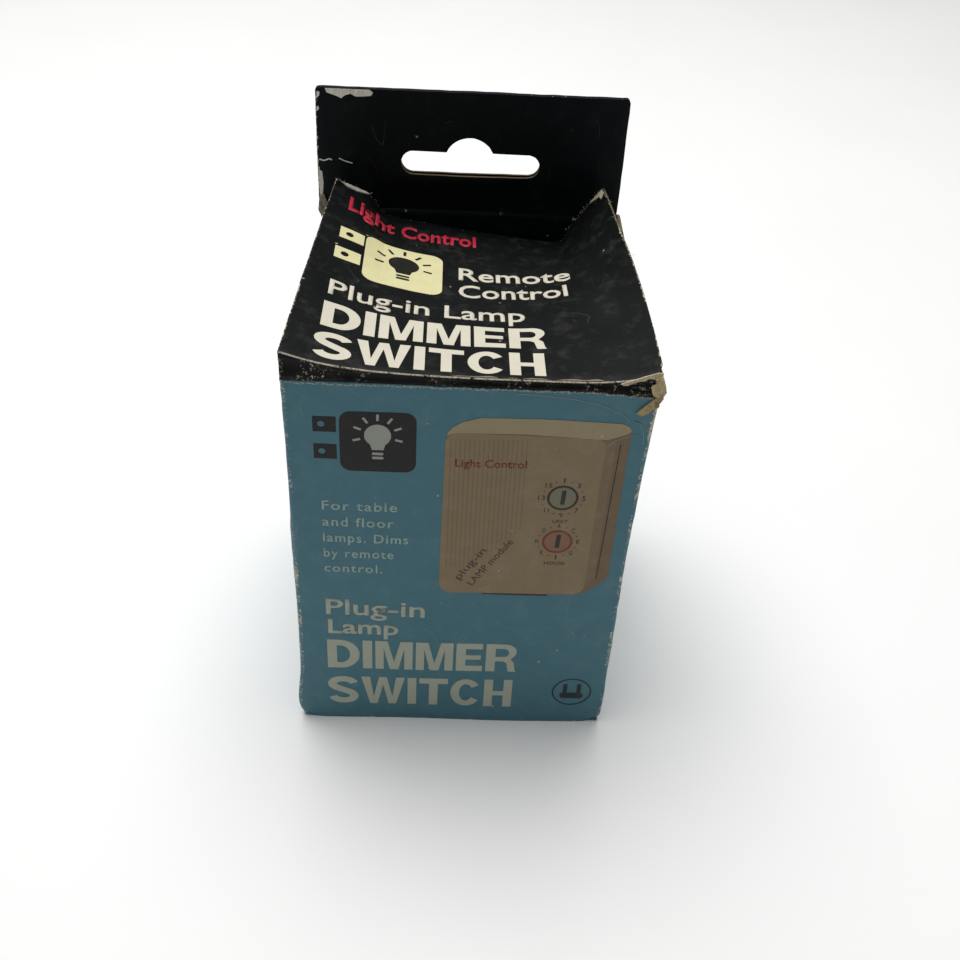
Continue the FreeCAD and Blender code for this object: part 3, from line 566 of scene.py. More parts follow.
def lid_column(share):
    """One line of points from the score, up the riser, round the fold and back over the lid."""
    brow = lid_point(share, 0)
    rear = lid_point(share, 1)
    bulge = front_bulge(brow.x, TALL)
    points = [Vector((brow.x, -HALF_DEEP - bulge, TALL + 0.02))]
    up = brow.z - TALL
    for part in (0.2, 0.4, 0.6, 0.8):
        buckle = dent(brow.x, 0, part * up, 3, 0.5) + bulge * (1 - part)
        buckle -= 0.35 * math.sin(math.pi * part)
        points.append(Vector((brow.x, -HALF_DEEP - buckle, TALL + up * part)))
    ahead = (rear - brow).normalized()
    turn = LID_CREASE_ROUND
    wobble = dent(brow.x, 2, 0, 2.5, 0.3)
    points.append(brow + Vector((0, -wobble * 0.5, -turn)))
    points.append(brow + Vector((0, 0.08, -turn * 0.25)) + ahead * turn * 0.25)
    points.append(brow + ahead * turn + Vector((0, 0, wobble * 0.4)))
    for i in range(1, LID_STEPS_BACK + 1):
        back = LID_FIRST_STEP + (1 - LID_FIRST_STEP) * (i / LID_STEPS_BACK)
        points.append(lid_point(share, back))
    ear = share < 2.05 or share > 3.0
    if ear:
        points[-1] += Vector((0, dent(share * 9, 0, 0, 0.7, 0.9), dent(share * 7, 4, 0, 1, 0.4)))
    else:
        points[-1] += Vector((0, 0.35, -0.5))
    bite = math.exp(-((share - LID_KNEES) / 0.12) ** 2) * 0.8
    for i, point in enumerate(points[:9]):
        point += Vector((-bite * 0.4, bite * 0.6, -bite * 0.2)) * (1 if i > 1 else 0.3)
    return points


def fold_wear(finish, fine, ragged):
    """A white hairline along the lid's front fold, and flecks below it on the crushed riser."""
    fold = finish.node("ShaderNodeAttribute", {"attribute_name": "from_fold"}, out="Fac")
    line = abs(fold).rise(0.26, 0.08) * ragged.rise(0.36, 0.46) * 0.8
    clumps = finish.grain(4.5, 3.0, shift=4.1).rise(0.46, 0.58)
    flecks = finish.grain(0.7, 5.0, shift=9.3, rough=0.75).rise(0.56, 0.63) * clumps
    return line.most(flecks * fold.rise(-0.3, -0.6))


def film_edge(finish):
    """Distance to the lid's front fold and rear edge, for its printing."""
    x, y, z = finish.axes()
    return ((LID_REAR + 0.8) - y).least(y + (HALF_DEEP + 1))


lid_shares = [LID_KNEES * i / LID_STEPS_ACROSS for i in range(LID_STEPS_ACROSS + 1)]
lid_columns = [lid_column(share) for share in lid_shares]
black_board = printed_board("black_lid_board", BLACK_INK, from_edge, haze=0.07, rub=0.12,
                            core=-0.05, gloss=0.1, marks=fold_wear, hairs=0.15)
lid = grid_piece("carton_lid", list(zip(*lid_columns)), "lid",
                 [black_board, raw_board("lid_liner", GREY_LINER),
                  raw_board("lid_cut_edge", (138, 122, 98))])
folds = lid.data.attributes.new("from_fold", "FLOAT", "POINT")
gaps = lid.data.attributes.new("from_edge", "FLOAT", "POINT")
for i, column in enumerate(lid_columns):
    for row, point in enumerate(column):
        spot = row * len(lid_columns) + i
        reach = (point - column[6]).length
        folds.data[spot].value = reach if row > 6 else -reach
        side = min((point - lid_columns[end][row]).length for end in (0, -1))
        gaps.data[spot].value = min(side, (point - column[-1]).length)
thicken(lid, BOARD)
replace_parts(lid, "lid_panel")

# ---------------------------------------------------------------------------------------------
# Tuck flap and dust flaps: the lid's tuck goes down inside the tab, and a flap folds in from each
# side under the lid. Black outside, bare grey board inside.
# ---------------------------------------------------------------------------------------------


def flap_board(name, ink, side):
    """Board whose printed face is the one that looks along side; the other face is bare."""
    finish = Finish(name)
    facing = finish.node("ShaderNodeTexCoord", {}, out="Normal")
    printed = finish.node("ShaderNodeVectorMath", {"operation": "DOT_PRODUCT"}, facing, side,
                          out="Value").rise(0.1, 0.3)
    fibre = finish.grain(0.5, 5.0, stretch=(4, 1, 1), rough=0.7)
    cloud = finish.grain(5.0, 4.0)
    bare = finish.blend(fibre.rise(0.3, 0.7), colour(118, 104, 84), colour(*GREY_LINER))
    black = finish.blend(cloud.rise(0.3, 0.8), colour(*ink), colour(*(v + 14 for v in ink)))
    scuff = (fibre * 0.6 + cloud).rise(1.0, 1.12)
    black = finish.blend(scuff * 0.7, black, colour(*WORN_PAPER))
    return finish.coat(finish.blend(printed, bare, black), 0.75 - printed * 0.25,
                       fibre + cloud, 0.06, Specular_IOR_Level=0.12)


repaint(flap_board("tuck_board", BLACK_INK, (0, 1, 0)), "tuck_flap")
dust_board = flap_board("dust_flap_board", BLACK_INK, (0, 0, 1))


DUST_FRONT, DUST_REAR, DUST_TAPER, DUST_LONG = -34.4, 27, 17.2, 22


def dust_point(side, inward, back, front_drop, rear_drop):
    """A point of a dust flap: from the wall's top edge over a small hump and in to its tip."""
    y = DUST_FRONT + DUST_TAPER * inward
    y += (DUST_REAR - y) * back
    fold = side * (HALF_WIDE - 0.35) + lean(side * HALF_WIDE, y, TALL) + dent(y, side, 0, 22, 0.3)
    tip = side * (HALF_WIDE - DUST_LONG)
    deep = (y - DUST_FRONT) / (DUST_REAR - DUST_FRONT)
    drop = front_drop + (rear_drop - front_drop) * deep
    rise = drop * inward + 0.5 * math.exp(-((inward - 0.03) / 0.05) ** 2)
    return (fold + (tip - fold) * inward, y, TALL + rise + dent(side * 9, y, inward * 20, 9, 0.3)
            * min(inward * 5, 1))


for side, name, drops in ((-1, "left", (1.0, -5.5)), (1, "right", (-0.4, -13))):
    rows = [[dust_point(side, i / 24, j / 30, *drops) for j in range(31)[::side]]
            for i in range(25)]
    flap = grid_piece(f"{name}_dust_flap_board", rows, f"{name}_dust_flap",
                      [dust_board] * 3)
    thicken(flap, BOARD)
    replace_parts(flap, f"dust_flap_{name}")

# ---------------------------------------------------------------------------------------------
# Front printing: plain class words, a plug sign, a bulb sign and a flat picture of the module.
# Each colour is a film of ink, far thinner than the board, laid on the bowed front.
# ---------------------------------------------------------------------------------------------
INK_FILM = 0.05
INK_SUNK = 0.03


LETTERS = {"D": 0.66, "I": 0.195, "M": 0.77, "E": 0.55, "R": 0.64, "S": 0.68, "W": 0.97,
           "T": 0.64, "C": 0.69, "H": 0.63}
STEM = 0.195
LETTER_GAP = 0.065


def oval(x, y, reach_x, reach_y, start, end, steps=16):
    turns = [math.radians(start + (end - start) * i / steps) for i in range(steps + 1)]
    return [(x + reach_x * math.cos(a), y + reach_y * math.sin(a)) for a in turns]


def stroke(line, wide):
    """The outline of a stroke of even width along a line of points."""
    sides = ([], [])
    for i, point in enumerate(line):
        along = Vector(line[min(i + 1, len(line) - 1)]) - Vector(line[max(i - 1, 0)])
        aside = Vector((-along.y, along.x)).normalized() * wide / 2
        sides[0].append(tuple(Vector(point) + aside))
        sides[1].append(tuple(Vector(point) - aside))
    return sides[0] + sides[1][::-1]


def block_letter(letter):
    """Outlines of a heavy square-cut capital, one unit tall; a second outline is its eye."""
    w, t, half = LETTERS[letter], STEM, LETTERS[letter] / 2
    if letter == "I":
        return [[(0, 0), (w, 0), (w, 1), (0, 1)]]
    if letter == "E":
        return [[(0, 0), (w, 0), (w, t), (t, t), (t, .42), (w * .93, .42), (w * .93, .58),
                 (t, .58), (t, 1 - t), (w * .98, 1 - t), (w * .98, 1), (0, 1)]]
    if letter == "T":
        return [[(half - t / 2, 0), (half + t / 2, 0), (half + t / 2, 1 - t), (w, 1 - t), (w, 1),
                 (0, 1), (0, 1 - t), (half - t / 2, 1 - t)]]
    if letter == "H":
        return [[(0, 0), (t, 0), (t, .42), (w - t, .42), (w - t, 0), (w, 0), (w, 1), (w - t, 1),
                 (w - t, .58), (t, .58), (t, 1), (0, 1)]]
    if letter == "M":
        return [[(0, 0), (t * .88, 0), (t * .88, .76), (half - t * .46, 0), (half + t * .46, 0),
                 (w - t * .88, .76), (w - t * .88, 0), (w, 0), (w, 1), (w - t * 1.3, 1),
                 (half, .26), (t * 1.3, 1), (0, 1)]]
    if letter == "W":
        return [[(0, 1), (t, 1), (w * .285, .27), (w * .41, 1), (w * .59, 1), (w * .715, .27),
                 (w - t, 1), (w, 1), (w * .80, 0), (w * .63, 0), (half, .72), (w * .37, 0),
                 (w * .20, 0)]]
    if letter == "D":
        return [[(0, 0)] + oval(w * .42, .5, w * .58, .5, -90, 90) + [(0, 1)],
                [(t, t)] + oval(w * .42, .5, w * .58 - t, .5 - t, -90, 90) + [(t, 1 - t)]]
    if letter == "R":
        return [[(0, 0), (t, 0), (t, .38), (w * .55, .38), (w * .68, .32), (w * .73, .05),
                 (w * .76, 0), (w, 0), (w * .96, .06), (w * .92, .32), (w * .80, .45)]
                + oval(w * .62, .73, w * .36, .27, -35, 90, 12) + [(0, 1)],
                [(t, .54)] + oval(w * .58, .69, w * .16, .15, -90, 90, 10) + [(t, .84)]]
    if letter == "C":
        return [oval(half, .5, half, .5, 35, 325, 24)
                + oval(half, .5, half - t, .5 - t * .95, 325, 35, 24)]
    top = oval(half, .72, half - t / 2, .28 - t / 2, 12, 245, 14)
    low = oval(half, .28, half - t / 2, .28 - t / 2, 65, -168, 14)
    return [stroke(top + low, t)]


def block_word(word, left, base, width, cap):
    """Heavy capitals set on a line, stretched to the width."""
    loops, place = [], 0.0
    for letter in word:
        loops += [[(x + place, y) for x, y in loop] for loop in block_letter(letter)]
        place += LETTERS[letter] + LETTER_GAP
    grow = width / (place - LETTER_GAP)
    return flat_shape([[(left + x * grow, base + y * cap) for x, y in loop] for loop in loops])


def ink_finish(name, tint, edge_of, wear=0.0, grain=0.0):
    """Ink that has the same rubs and chips as the board under it."""
    return printed_board(name, tint, edge_of, haze=grain, rub=wear)


def lettering(words, left, base, width, cap, bold=0.012, spacing=1.0, turn=0.0):
    """Plain sans words as a flat mesh: cap height and overall width in millimetres."""
    text = bpy.data.curves.new("words", "FONT")
    text.body, text.size, text.offset = words, 1.0, bold
    text.space_character, text.resolution_u = spacing, 3
    work = as_mesh(text)
    ruler = bpy.data.curves.new("ruler", "FONT")
    ruler.body, ruler.size, ruler.offset = "H", 1.0, bold
    letter = as_mesh(ruler)
    cap_high = max(v.co.y for v in letter.verts) - min(v.co.y for v in letter.verts)
    letter.free()
    start = min(v.co.x for v in work.verts)
    wide = max(v.co.x for v in work.verts) - start
    grow_x, grow_y = width / wide, cap / cap_high
    swing = Matrix.Rotation(math.radians(turn), 2)
    for vert in work.verts:
        spot = swing @ Vector(((vert.co.x - start) * grow_x, (vert.co.y + bold) * grow_y))
        vert.co = (left + spot.x, base + spot.y, 0)
    return work


def lay_ink(name, drawings, surface, material, body, cell=2.5, film=INK_FILM):
    """Lays flat drawings on a surface as one thin closed film."""
    whole = bmesh.new()
    for work in drawings:
        bmesh.ops.remove_doubles(work, verts=work.verts[:], dist=0.0005)
        cut_in_cells(work, cell)
        faces = bmesh.ops.extrude_face_region(work, geom=work.faces[:], use_keep_orig=True)
        for part in faces["geom"]:
            if isinstance(part, bmesh.types.BMVert):
                part.co.z = 1
        spare = bpy.data.meshes.new("film")
        work.to_mesh(spare)
        work.free()
        whole.from_mesh(spare)
        bpy.data.meshes.remove(spare)
    for vert in whole.verts:
        lift = film if vert.co.z > 0.5 else -INK_SUNK
        vert.co = Vector(surface(vert.co.x, vert.co.y, lift)) * MM
    bmesh.ops.recalc_face_normals(whole, faces=whole.faces[:])
    mesh = bpy.data.meshes.new(name)
    whole.to_mesh(mesh)
    whole.free()
    return show(mesh, name, body, [material])


def front_ink(name, drawings, tint, film=INK_FILM, wear=0.0, grain=0.12):
    material = ink_finish(name + "_ink", tint, front_edge, wear, grain)
    return lay_ink(name, drawings, front_face, material, "carton", film=film)


def disc(x, y, radius, steps=20):
    return arc(x, y, radius, 0, 360 - 360 / steps, steps - 1)


def ring(x, y, radius, wide, steps=28):
    return [disc(x, y, radius, steps), disc(x, y, radius - wide, steps)]


def plug_blade(left, low, wide, tall, hole_x):
    return [[(left, low), (left + wide, low), (left + wide, low + tall), (left, low + tall)],
            disc(left + hole_x, low + tall / 2, tall * 0.2, 14)]


def bulb_sign(x, y, size):
    """A light bulb with short rays, drawn size millimetres tall."""
    glass = arc(x, y + size * 0.12, size * 0.21, -55, 235, 20)
    neck = [(x - size * 0.09, y - size * 0.16), (x + size * 0.09, y - size * 0.16)]
    loops = [glass + neck]
    for row in (0.21, 0.29):
        loops.append(rounded(x - size * 0.09, y - size * (row + 0.05), x + size * 0.09,
                             y - size * row, size * 0.02, 3))
    for degrees in (-15, 22.5, 56, 90, 124, 157.5, 195):
        a = math.radians(degrees)
        ray, side = Vector((math.cos(a), math.sin(a))), Vector((-math.sin(a), math.cos(a)))
        hub = Vector((x, y + size * 0.12))
        ends = [hub + ray * size * 0.28, hub + ray * size * 0.40]
        loops.append([tuple(ends[0] - side * size * 0.02), tuple(ends[1] - side * size * 0.02),
                      tuple(ends[1] + side * size * 0.02), tuple(ends[0] + side * size * 0.02)])
    return loops


FRONT_LEFT = -HALF_WIDE
# Cream print on the front, darker than the lid's same cream: part of the front's shade is painted
# into it.
FRONT_CREAM_WITH_PAINTED_SHADE = (172, 177, 160)
front_ink("front_large_words",
          [block_word("DIMMER", FRONT_LEFT + 6.2, 17.3, 42.6, 9.1),
           block_word("SWITCH", FRONT_LEFT + 6.0, 5.2, 42.4, 9.2)], FRONT_CREAM_WITH_PAINTED_SHADE)
front_ink("front_middle_words",
          [lettering("Plug-in", FRONT_LEFT + 6.3, 34.4, 21.5, 4.7, 0.013),
           lettering("Lamp", FRONT_LEFT + 6.6, 28.5, 15.5, 4.4, 0.02)], FRONT_CREAM_WITH_PAINTED_SHADE)
front_ink("front_small_words",
          [lettering(words, FRONT_LEFT + 6.4, 64.6 - 4.3 * row, width, 2.4, 0.012, 1.15)
           for row, (words, width) in enumerate((("For table", 15.3), ("and floor", 14.6),
                                                 ("lamps. Dims", 17.6), ("by remote", 14.6),
                                                 ("control.", 12.2)))],
          (152, 175, 168))
front_ink("front_plug_sign",
          [flat_shape(plug_blade(FRONT_LEFT + 5.3, 84.4, 4.5, 3.6, 1.6)
                      + plug_blade(FRONT_LEFT + 5.3, 77.8, 4.5, 3.6, 1.6)
                      + [rounded(FRONT_LEFT + 10.4, 75.0, FRONT_LEFT + 25.3, 89.4, 2.2)])],
          (10, 12, 12), grain=0.02)
front_ink("front_bulb_sign", [flat_shape(bulb_sign(FRONT_LEFT + 17.8, 82.4, 12.5))],
          (158, 162, 152), film=0.09)
front_ink("front_plug_mark",
          [flat_shape(ring(27.3, 10.6, 4.6, 0.35)),
           flat_shape([rounded(25.2, 10.3, 26.2, 13.3, 0.3, 3),
                       rounded(28.4, 10.3, 29.4, 13.3, 0.3, 3),
                       rounded(24.6, 8.4, 30.0, 10.3, 0.7, 3)])],
          (24, 34, 40))

# ---------------------------------------------------------------------------------------------
# Printed picture of the module: a tan block seen from its front left, ribbed on one half, with
# two dials among their codes. It is flat ink in a few tones, one film to a tone.
# ---------------------------------------------------------------------------------------------
PICTURE_TAN = (137, 118, 89)
PICTURE_DARK = (46, 40, 32)


def dial_codes(x, y, codes, reach_x, reach_y, cap):
    """Codes set round a dial, upright, with a dot between each pair."""
    drawings, dots = [], []
    for i, code in enumerate(codes):
        a = math.radians(90 - 45 * i)
        wide = cap * (0.24 if code in "1I" else 0.8 if code == "11" else 0.6 * len(code))
        drawings.append(lettering(code, x + reach_x * math.cos(a) - wide / 2,
                                  y + reach_y * math.sin(a) - cap / 2, wide, cap, 0.0))
        b = math.radians(90 - 45 * i - 22.5)
        dots.append(disc(x + reach_x * 0.97 * math.cos(b), y + reach_y * 0.97 * math.sin(b),
                         0.14, 8))
    return drawings + [flat_shape(dots)]


def picture(*loops):
    """Outlines whose x is measured from the front's left edge."""
    return flat_shape([[(FRONT_LEFT + x, z) for x, z in loop] for loop in loops])


PICTURE_BEVEL = [(31.2, 84.4), (31.4, 85.4), (32.3, 86.5), (34.2, 87.8), (37.6, 88.9),
                 (50.5, 89.0), (64.8, 88.6), (66.3, 88.0), (66.9, 86.9)]
PICTURE_EDGE = (arc(62.0, 49.2, 4.6, 0, -50, 5) + arc(59.6, 46.0, 3.6, -50, -90, 4)
                + arc(33.6, 45.4, 3.0, 270, 180, 5))
PICTURE_FACE = (arc(33.6, 82.6, 2.7, 180, 100, 5) + arc(60.4, 82.8, 1.9, 80, 10, 4)
                + arc(59.2, 45.2, 2.6, 0, -90, 5) + arc(33.4, 45.2, 2.8, 270, 180, 5))
front_ink("picture_side", [picture(PICTURE_BEVEL + PICTURE_EDGE)], (116, 98, 72))
front_ink("picture_turn", [picture([(60.2, 83.8), (64.2, 84.6), (63.6, 47.6), (61.6, 44.4),
                                    (58.8, 42.8)])], (124, 106, 79), film=0.06)
front_ink("picture_top", [picture(PICTURE_BEVEL + [(66.3, 86.2), (62.5, 84.6), (60.6, 84.6),
                                                   (46, 85.3), (33.4, 85.2), (32, 84.9)])],
          (158, 144, 113), film=0.07)
front_ink("picture_face", [picture(PICTURE_FACE)], PICTURE_TAN, film=0.07, grain=0.2)
front_ink("picture_parting",
          [picture([(65.05, 83.6), (65.25, 83.6), (64.2, 47.2), (64.0, 47.2)],
                   [(40, 42.1), (54, 42.0), (54, 42.3), (40, 42.45)])],
          PICTURE_DARK, film=0.09)
front_ink("picture_ribs",
          [picture(*[[(31.9 + 0.93 * i, low), (32.15 + 0.93 * i, low), (32.15 + 0.93 * i, 83.8),
                      (31.9 + 0.93 * i, 83.8)]
                     for i in range(17) for low in (50 + 1.1 * max(0, i - 6),)])],
          (126, 108, 81), film=0.085)
front_ink("picture_red_words", [lettering("Light Control", FRONT_LEFT + 33.0, 76.9, 14.2, 1.9,
                                          0.012)], (120, 52, 44), film=0.1)
UNIT_AT, HOUSE_AT = (FRONT_LEFT + 55.0, 69.6), (FRONT_LEFT + 54.9, 57.8)
front_ink("picture_unit_ring", [flat_shape(ring(*UNIT_AT, 3.2, 0.5))], (40, 40, 36), film=0.10)
front_ink("picture_house_ring", [flat_shape(ring(*HOUSE_AT, 3.2, 0.5))], (122, 52, 38), film=0.10)
front_ink("picture_unit_knob", [flat_shape([disc(*UNIT_AT, 2.72)])], (122, 118, 96), film=0.09)
front_ink("picture_house_knob", [flat_shape([disc(*HOUSE_AT, 2.72)])], (134, 100, 76), film=0.09)
front_ink("picture_grooves",
          [flat_shape([[(x - 0.45, y - 1.7), (x + 0.45, y - 1.7), (x + 0.65, y + 1.9),
                        (x - 0.25, y + 1.9)]]) for x, y in (UNIT_AT, HOUSE_AT)],
          (46, 42, 34), film=0.11)
front_ink("picture_codes",
          dial_codes(*UNIT_AT, ("1", "3", "5", "7", "9", "11", "13", "15"), 4.3, 4.55, 1.15)
          + dial_codes(*HOUSE_AT, ("A", "C", "E", "G", "I", "K", "M", "O"), 4.3, 4.35, 1.15)
          + [lettering("UNIT", UNIT_AT[0] - 1.6, 63.0, 3.2, 0.8, 0.0),
             lettering("HOUSE", HOUSE_AT[0] - 2.3, 51.3, 4.4, 0.8, 0.0)], PICTURE_DARK, film=0.10)
front_ink("picture_model_words",
          [lettering("plug-in", FRONT_LEFT + 35.0, 46.2, 10.2, 1.6, 0.0, turn=58),
           lettering("LAMP module", FRONT_LEFT + 37.8, 44.6, 15.2, 1.6, 0.0, turn=58)],
          (66, 56, 44), film=0.10)

# ---------------------------------------------------------------------------------------------
# Lid printing: the same plain words in cream, a yellow plug and bulb sign, and one red line, all
# following the dished board.
# ---------------------------------------------------------------------------------------------
CREAM_INK = (214, 208, 190)
YELLOW_INK = (220, 214, 164)


def lid_share(x, back):
    """The share along the lid's bent lines at which its upper side is x across."""
    low, high = 0.0, float(LID_KNEES)
    for _ in range(24):
        middle = (low + high) / 2
        here = lid_flat(middle, back).x
        low, high = (middle, high) if here < x else (low, middle)
    return (low + high) / 2


def lid_face(x, y, lift=0.0):
    back = (y + HALF_DEEP) / (LID_REAR + HALF_DEEP)
    spot = lid_point(lid_share(x, back), back)
    return (spot.x, spot.y, spot.z + lift)


def lid_ink(name, drawings, tint, film=INK_FILM + 0.03, grain=0.05):
    material = ink_finish(name + "_ink", tint, film_edge, -0.05, grain)
    return lay_ink(name, drawings, lid_face, material, "lid", 1.7, film)


lid_ink("lid_large_words", [block_word("DIMMER", -28.6, -23.7, 43.6, 8.7),
                            block_word("SWITCH", -29.3, -34.1, 43.6, 8.6)], CREAM_INK)
lid_ink("lid_middle_words", [lettering("Plug-in Lamp", -28.2, -12.2, 39.6, 5.4, 0.012),
                             lettering("Remote", -2.1, 5.7, 23.7, 6.0, 0.016),
                             lettering("Control", -2.1, -2.3, 22.6, 5.8, 0.016)], CREAM_INK)
lid_ink("lid_red_words", [lettering("Light Control", -27.2, 22.2, 29.0, 5.8, 0.026)],
        (190, 42, 66))
lid_ink("lid_plug_sign", [flat_shape(plug_blade(-28.0, 9.8, 5.2, 4.2, 2.1)
                                     + plug_blade(-28.4, 1.8, 5.4, 4.2, 2.1)
                                     + [rounded(-22.4, -2.8, -5.6, 15.8, 2.6)])], YELLOW_INK)
lid_ink("lid_bulb_sign", [flat_shape(bulb_sign(-14.0, 6.6, 15.8))], (18, 17, 10), film=0.13)

# ---------------------------------------------------------------------------------------------
# Frayed board: where the carton has torn, short paper fibres stand out of the ply. They follow
# the torn edges, so one set of nodes strews them along any line of points.
# ---------------------------------------------------------------------------------------------
fibre_material = raw_board("paper_fibres", (196, 182, 150))


def fibre_tree():
    """Strews thin tapering fibres along the input's edges, turned and sized at random."""
    tree = bpy.data.node_groups.new("frayed_fibres", "GeometryNodeTree")
    add = tree.nodes.new
    for name, kind in (("Line", "NodeSocketGeometry"), ("Count", "NodeSocketInt"),
                       ("Length", "NodeSocketFloat"), ("Thickness", "NodeSocketFloat"),
                       ("Spread", "NodeSocketFloat"), ("Seed", "NodeSocketInt"),
                       ("Fibre finish", "NodeSocketMaterial")):
        tree.interface.new_socket(name=name, in_out="INPUT", socket_type=kind)
    tree.interface.new_socket(name="Fibres", in_out="OUTPUT", socket_type="NodeSocketGeometry")
    given, result = add("NodeGroupInput"), add("NodeGroupOutput")

    def join(source, target):
        tree.links.new(source, target)

    curve, spaced = add("GeometryNodeMeshToCurve"), add("GeometryNodeResampleCurve")
    join(given.outputs["Line"], curve.inputs[0])
    join(curve.outputs[0], spaced.inputs["Curve"])
    join(given.outputs["Count"], spaced.inputs["Count"])
    scatter, shaken = add("FunctionNodeRandomValue"), add("GeometryNodeSetPosition")
    scatter.data_type = "FLOAT_VECTOR"
    low, high = add("ShaderNodeCombineXYZ"), add("ShaderNodeCombineXYZ")
    minus = add("ShaderNodeMath")
    minus.operation = "MULTIPLY"
    minus.inputs[1].default_value = -1
    join(given.outputs["Spread"], minus.inputs[0])
    for axis in range(3):
        join(minus.outputs[0], low.inputs[axis])
        join(given.outputs["Spread"], high.inputs[axis])
    join(low.outputs[0], scatter.inputs[0])
    join(high.outputs[0], scatter.inputs[1])
    join(given.outputs["Seed"], scatter.inputs["Seed"])
    join(spaced.outputs[0], shaken.inputs["Geometry"])
    join(scatter.outputs[0], shaken.inputs["Offset"])
    fibre = add("GeometryNodeMeshCone")
    fibre.inputs["Vertices"].default_value = 4
    join(given.outputs["Thickness"], fibre.inputs["Radius Bottom"])
    join(given.outputs["Length"], fibre.inputs["Depth"])
    turn, grow = add("FunctionNodeRandomValue"), add("FunctionNodeRandomValue")
    turn.data_type = "FLOAT_VECTOR"
    turn.inputs[0].default_value, turn.inputs[1].default_value = (-1.3,) * 3, (1.3,) * 3
    join(given.outputs["Seed"], turn.inputs["Seed"])
    grow.inputs[2].default_value, grow.inputs[3].default_value = 0.35, 1.25
    join(given.outputs["Seed"], grow.inputs["Seed"])
    strewn = add("GeometryNodeInstanceOnPoints")
    join(shaken.outputs[0], strewn.inputs["Points"])
    join(fibre.outputs[0], strewn.inputs["Instance"])
    join(turn.outputs[0], strewn.inputs["Rotation"])
    join(grow.outputs[1], strewn.inputs["Scale"])
    real, painted = add("GeometryNodeRealizeInstances"), add("GeometryNodeSetMaterial")
    join(strewn.outputs[0], real.inputs[0])
    join(real.outputs[0], painted.inputs["Geometry"])
    join(given.outputs["Fibre finish"], painted.inputs["Material"])
    join(painted.outputs[0], result.inputs[0])
    return tree


fibres = fibre_tree()


def fray(name, line, body, count, length, thickness, spread, seed):
    """Strews fibres along a line of millimetre points and keeps them as one plain mesh."""
    guide = bpy.data.meshes.new("torn_line")
    guide.from_pydata([Vector(p) * MM for p in line], [(i, i + 1) for i in range(len(line) - 1)],
                      [])
    holder = bpy.data.objects.new("torn_line", guide)
    bpy.context.scene.collection.objects.link(holder)
    strew = holder.modifiers.new("fibres", "NODES")
    strew.node_group = fibres
    values = {"Count": count, "Length": length * MM, "Thickness": thickness * MM,
              "Spread": spread * MM, "Seed": seed, "Fibre finish": fibre_material}
    for item in fibres.interface.items_tree:
        if item.in_out == "INPUT" and item.name in values:
            strew[item.identifier] = values[item.name]
    seen = holder.evaluated_get(bpy.context.evaluated_depsgraph_get())
    mesh = bpy.data.meshes.new_from_object(seen)
    mesh.name = name
    bpy.data.objects.remove(holder)
    mesh.materials.clear()
    return show(mesh, name, body, [fibre_material])


def flake(name, outline, surface, body, thick=0.4, tint=(150, 132, 98)):
    """A torn bit of board ply, its ragged outline laid on a crumpled surface."""
    return lay_ink(name, [flat_shape([outline])], surface, raw_board(name + "_ply", tint), body,
                   0.45, thick)


def torn_place(x, z, out):
    """A point out from the front's bent corner, whose bulge dies away up the lid's riser."""
    skin = front_bulge(x, min(z, TALL)) * min(max(1 - (z - TALL) / 4.2, 0), 1)
    return (x, max(-HALF_DEEP - skin - out, -HALF_DEEP - 2.1), z)


def torn_lid_corner(x, z, lift):
    """The parted plies at the lid's right front corner, crumpled forwards."""
    out = 0.3 + 0.35 * math.sin((x - 34) * 1.9) * math.cos((z - 95) * 0.9) + dent(x, 3, z, 1, 0.3)
    return torn_place(x, z, max(out, 0.1) + lift)


def folded_ply(x, z, lift):
    """The lid's parted top ply, lying close along the fold."""
    return torn_place(x, z + 0.35, lift + 0.15 + dent(x, 3, z, 1.6, 0.15))


def torn_front_corner(x, z, lift):
    """The front's torn edge below it, curled up along a line running down to the left."""
    across = (x - 34.2) * 0.766 - (z - 92.1) * 0.643
    out = 0.25 + 0.35 * math.cos(across * 2.2) + dent(x, 6, z, 0.8, 0.2)
    return torn_place(x, z, max(out, 0.1) + lift)


flake("torn_lid_corner", [(34.3, 97.0), (34.6, 96.4), (35.7, 96.1), (36.6, 96.3), (37.0, 97.2),
                          (36.7, 98.6), (36.2, 100.0), (35.3, 99.9), (34.8, 99.3), (35.0, 98.4),
                          (34.1, 97.8)], torn_lid_corner, "lid", 0.3, (196, 176, 134))
flake("torn_lid_ply", [(28.4, 97.75), (29, 98.0), (31, 98.75), (33, 99.5), (35.2, 100.3),
                       (36.2, 100.3), (36.1, 99.7), (34.6, 99.2), (33.6, 99.1), (32.8, 98.6),
                       (31.8, 98.5), (31, 98.2), (29.6, 97.5), (28.8, 97.5)],
      folded_ply, "lid", 0.2, (206, 190, 156))
flake("torn_front_strip", [(36.4, 96.6), (35.2, 95.7), (33.8, 93.9), (32.6, 92.4), (32.1, 91.5),
                           (32.9, 91.3), (34.2, 92.3), (35.2, 93.6), (36.0, 94.9), (36.6, 96.0)],
      torn_front_corner, "carton", 0.3, (186, 164, 118))
flake("torn_front_bit", [(35.0, 95.1), (35.7, 95.2), (36.0, 94.4), (35.8, 93.8), (35.1, 93.9)],
      torn_front_corner, "carton", 0.35, (150, 130, 98))


def rear_corner(x, z, lift):
    return (x, TAB_LOW[1] / MM - 0.3 - lift + dent(x, 8, z, 0.9, 0.4), z)


def ear_face(x, y, lift):
    """Just over the lid, so that parted paper lies on it."""
    spot = lid_face(x, y, lift + 0.06)
    return (spot[0], spot[1], spot[2] + abs(dent(x, y, 2, 0.8, 0.25)))


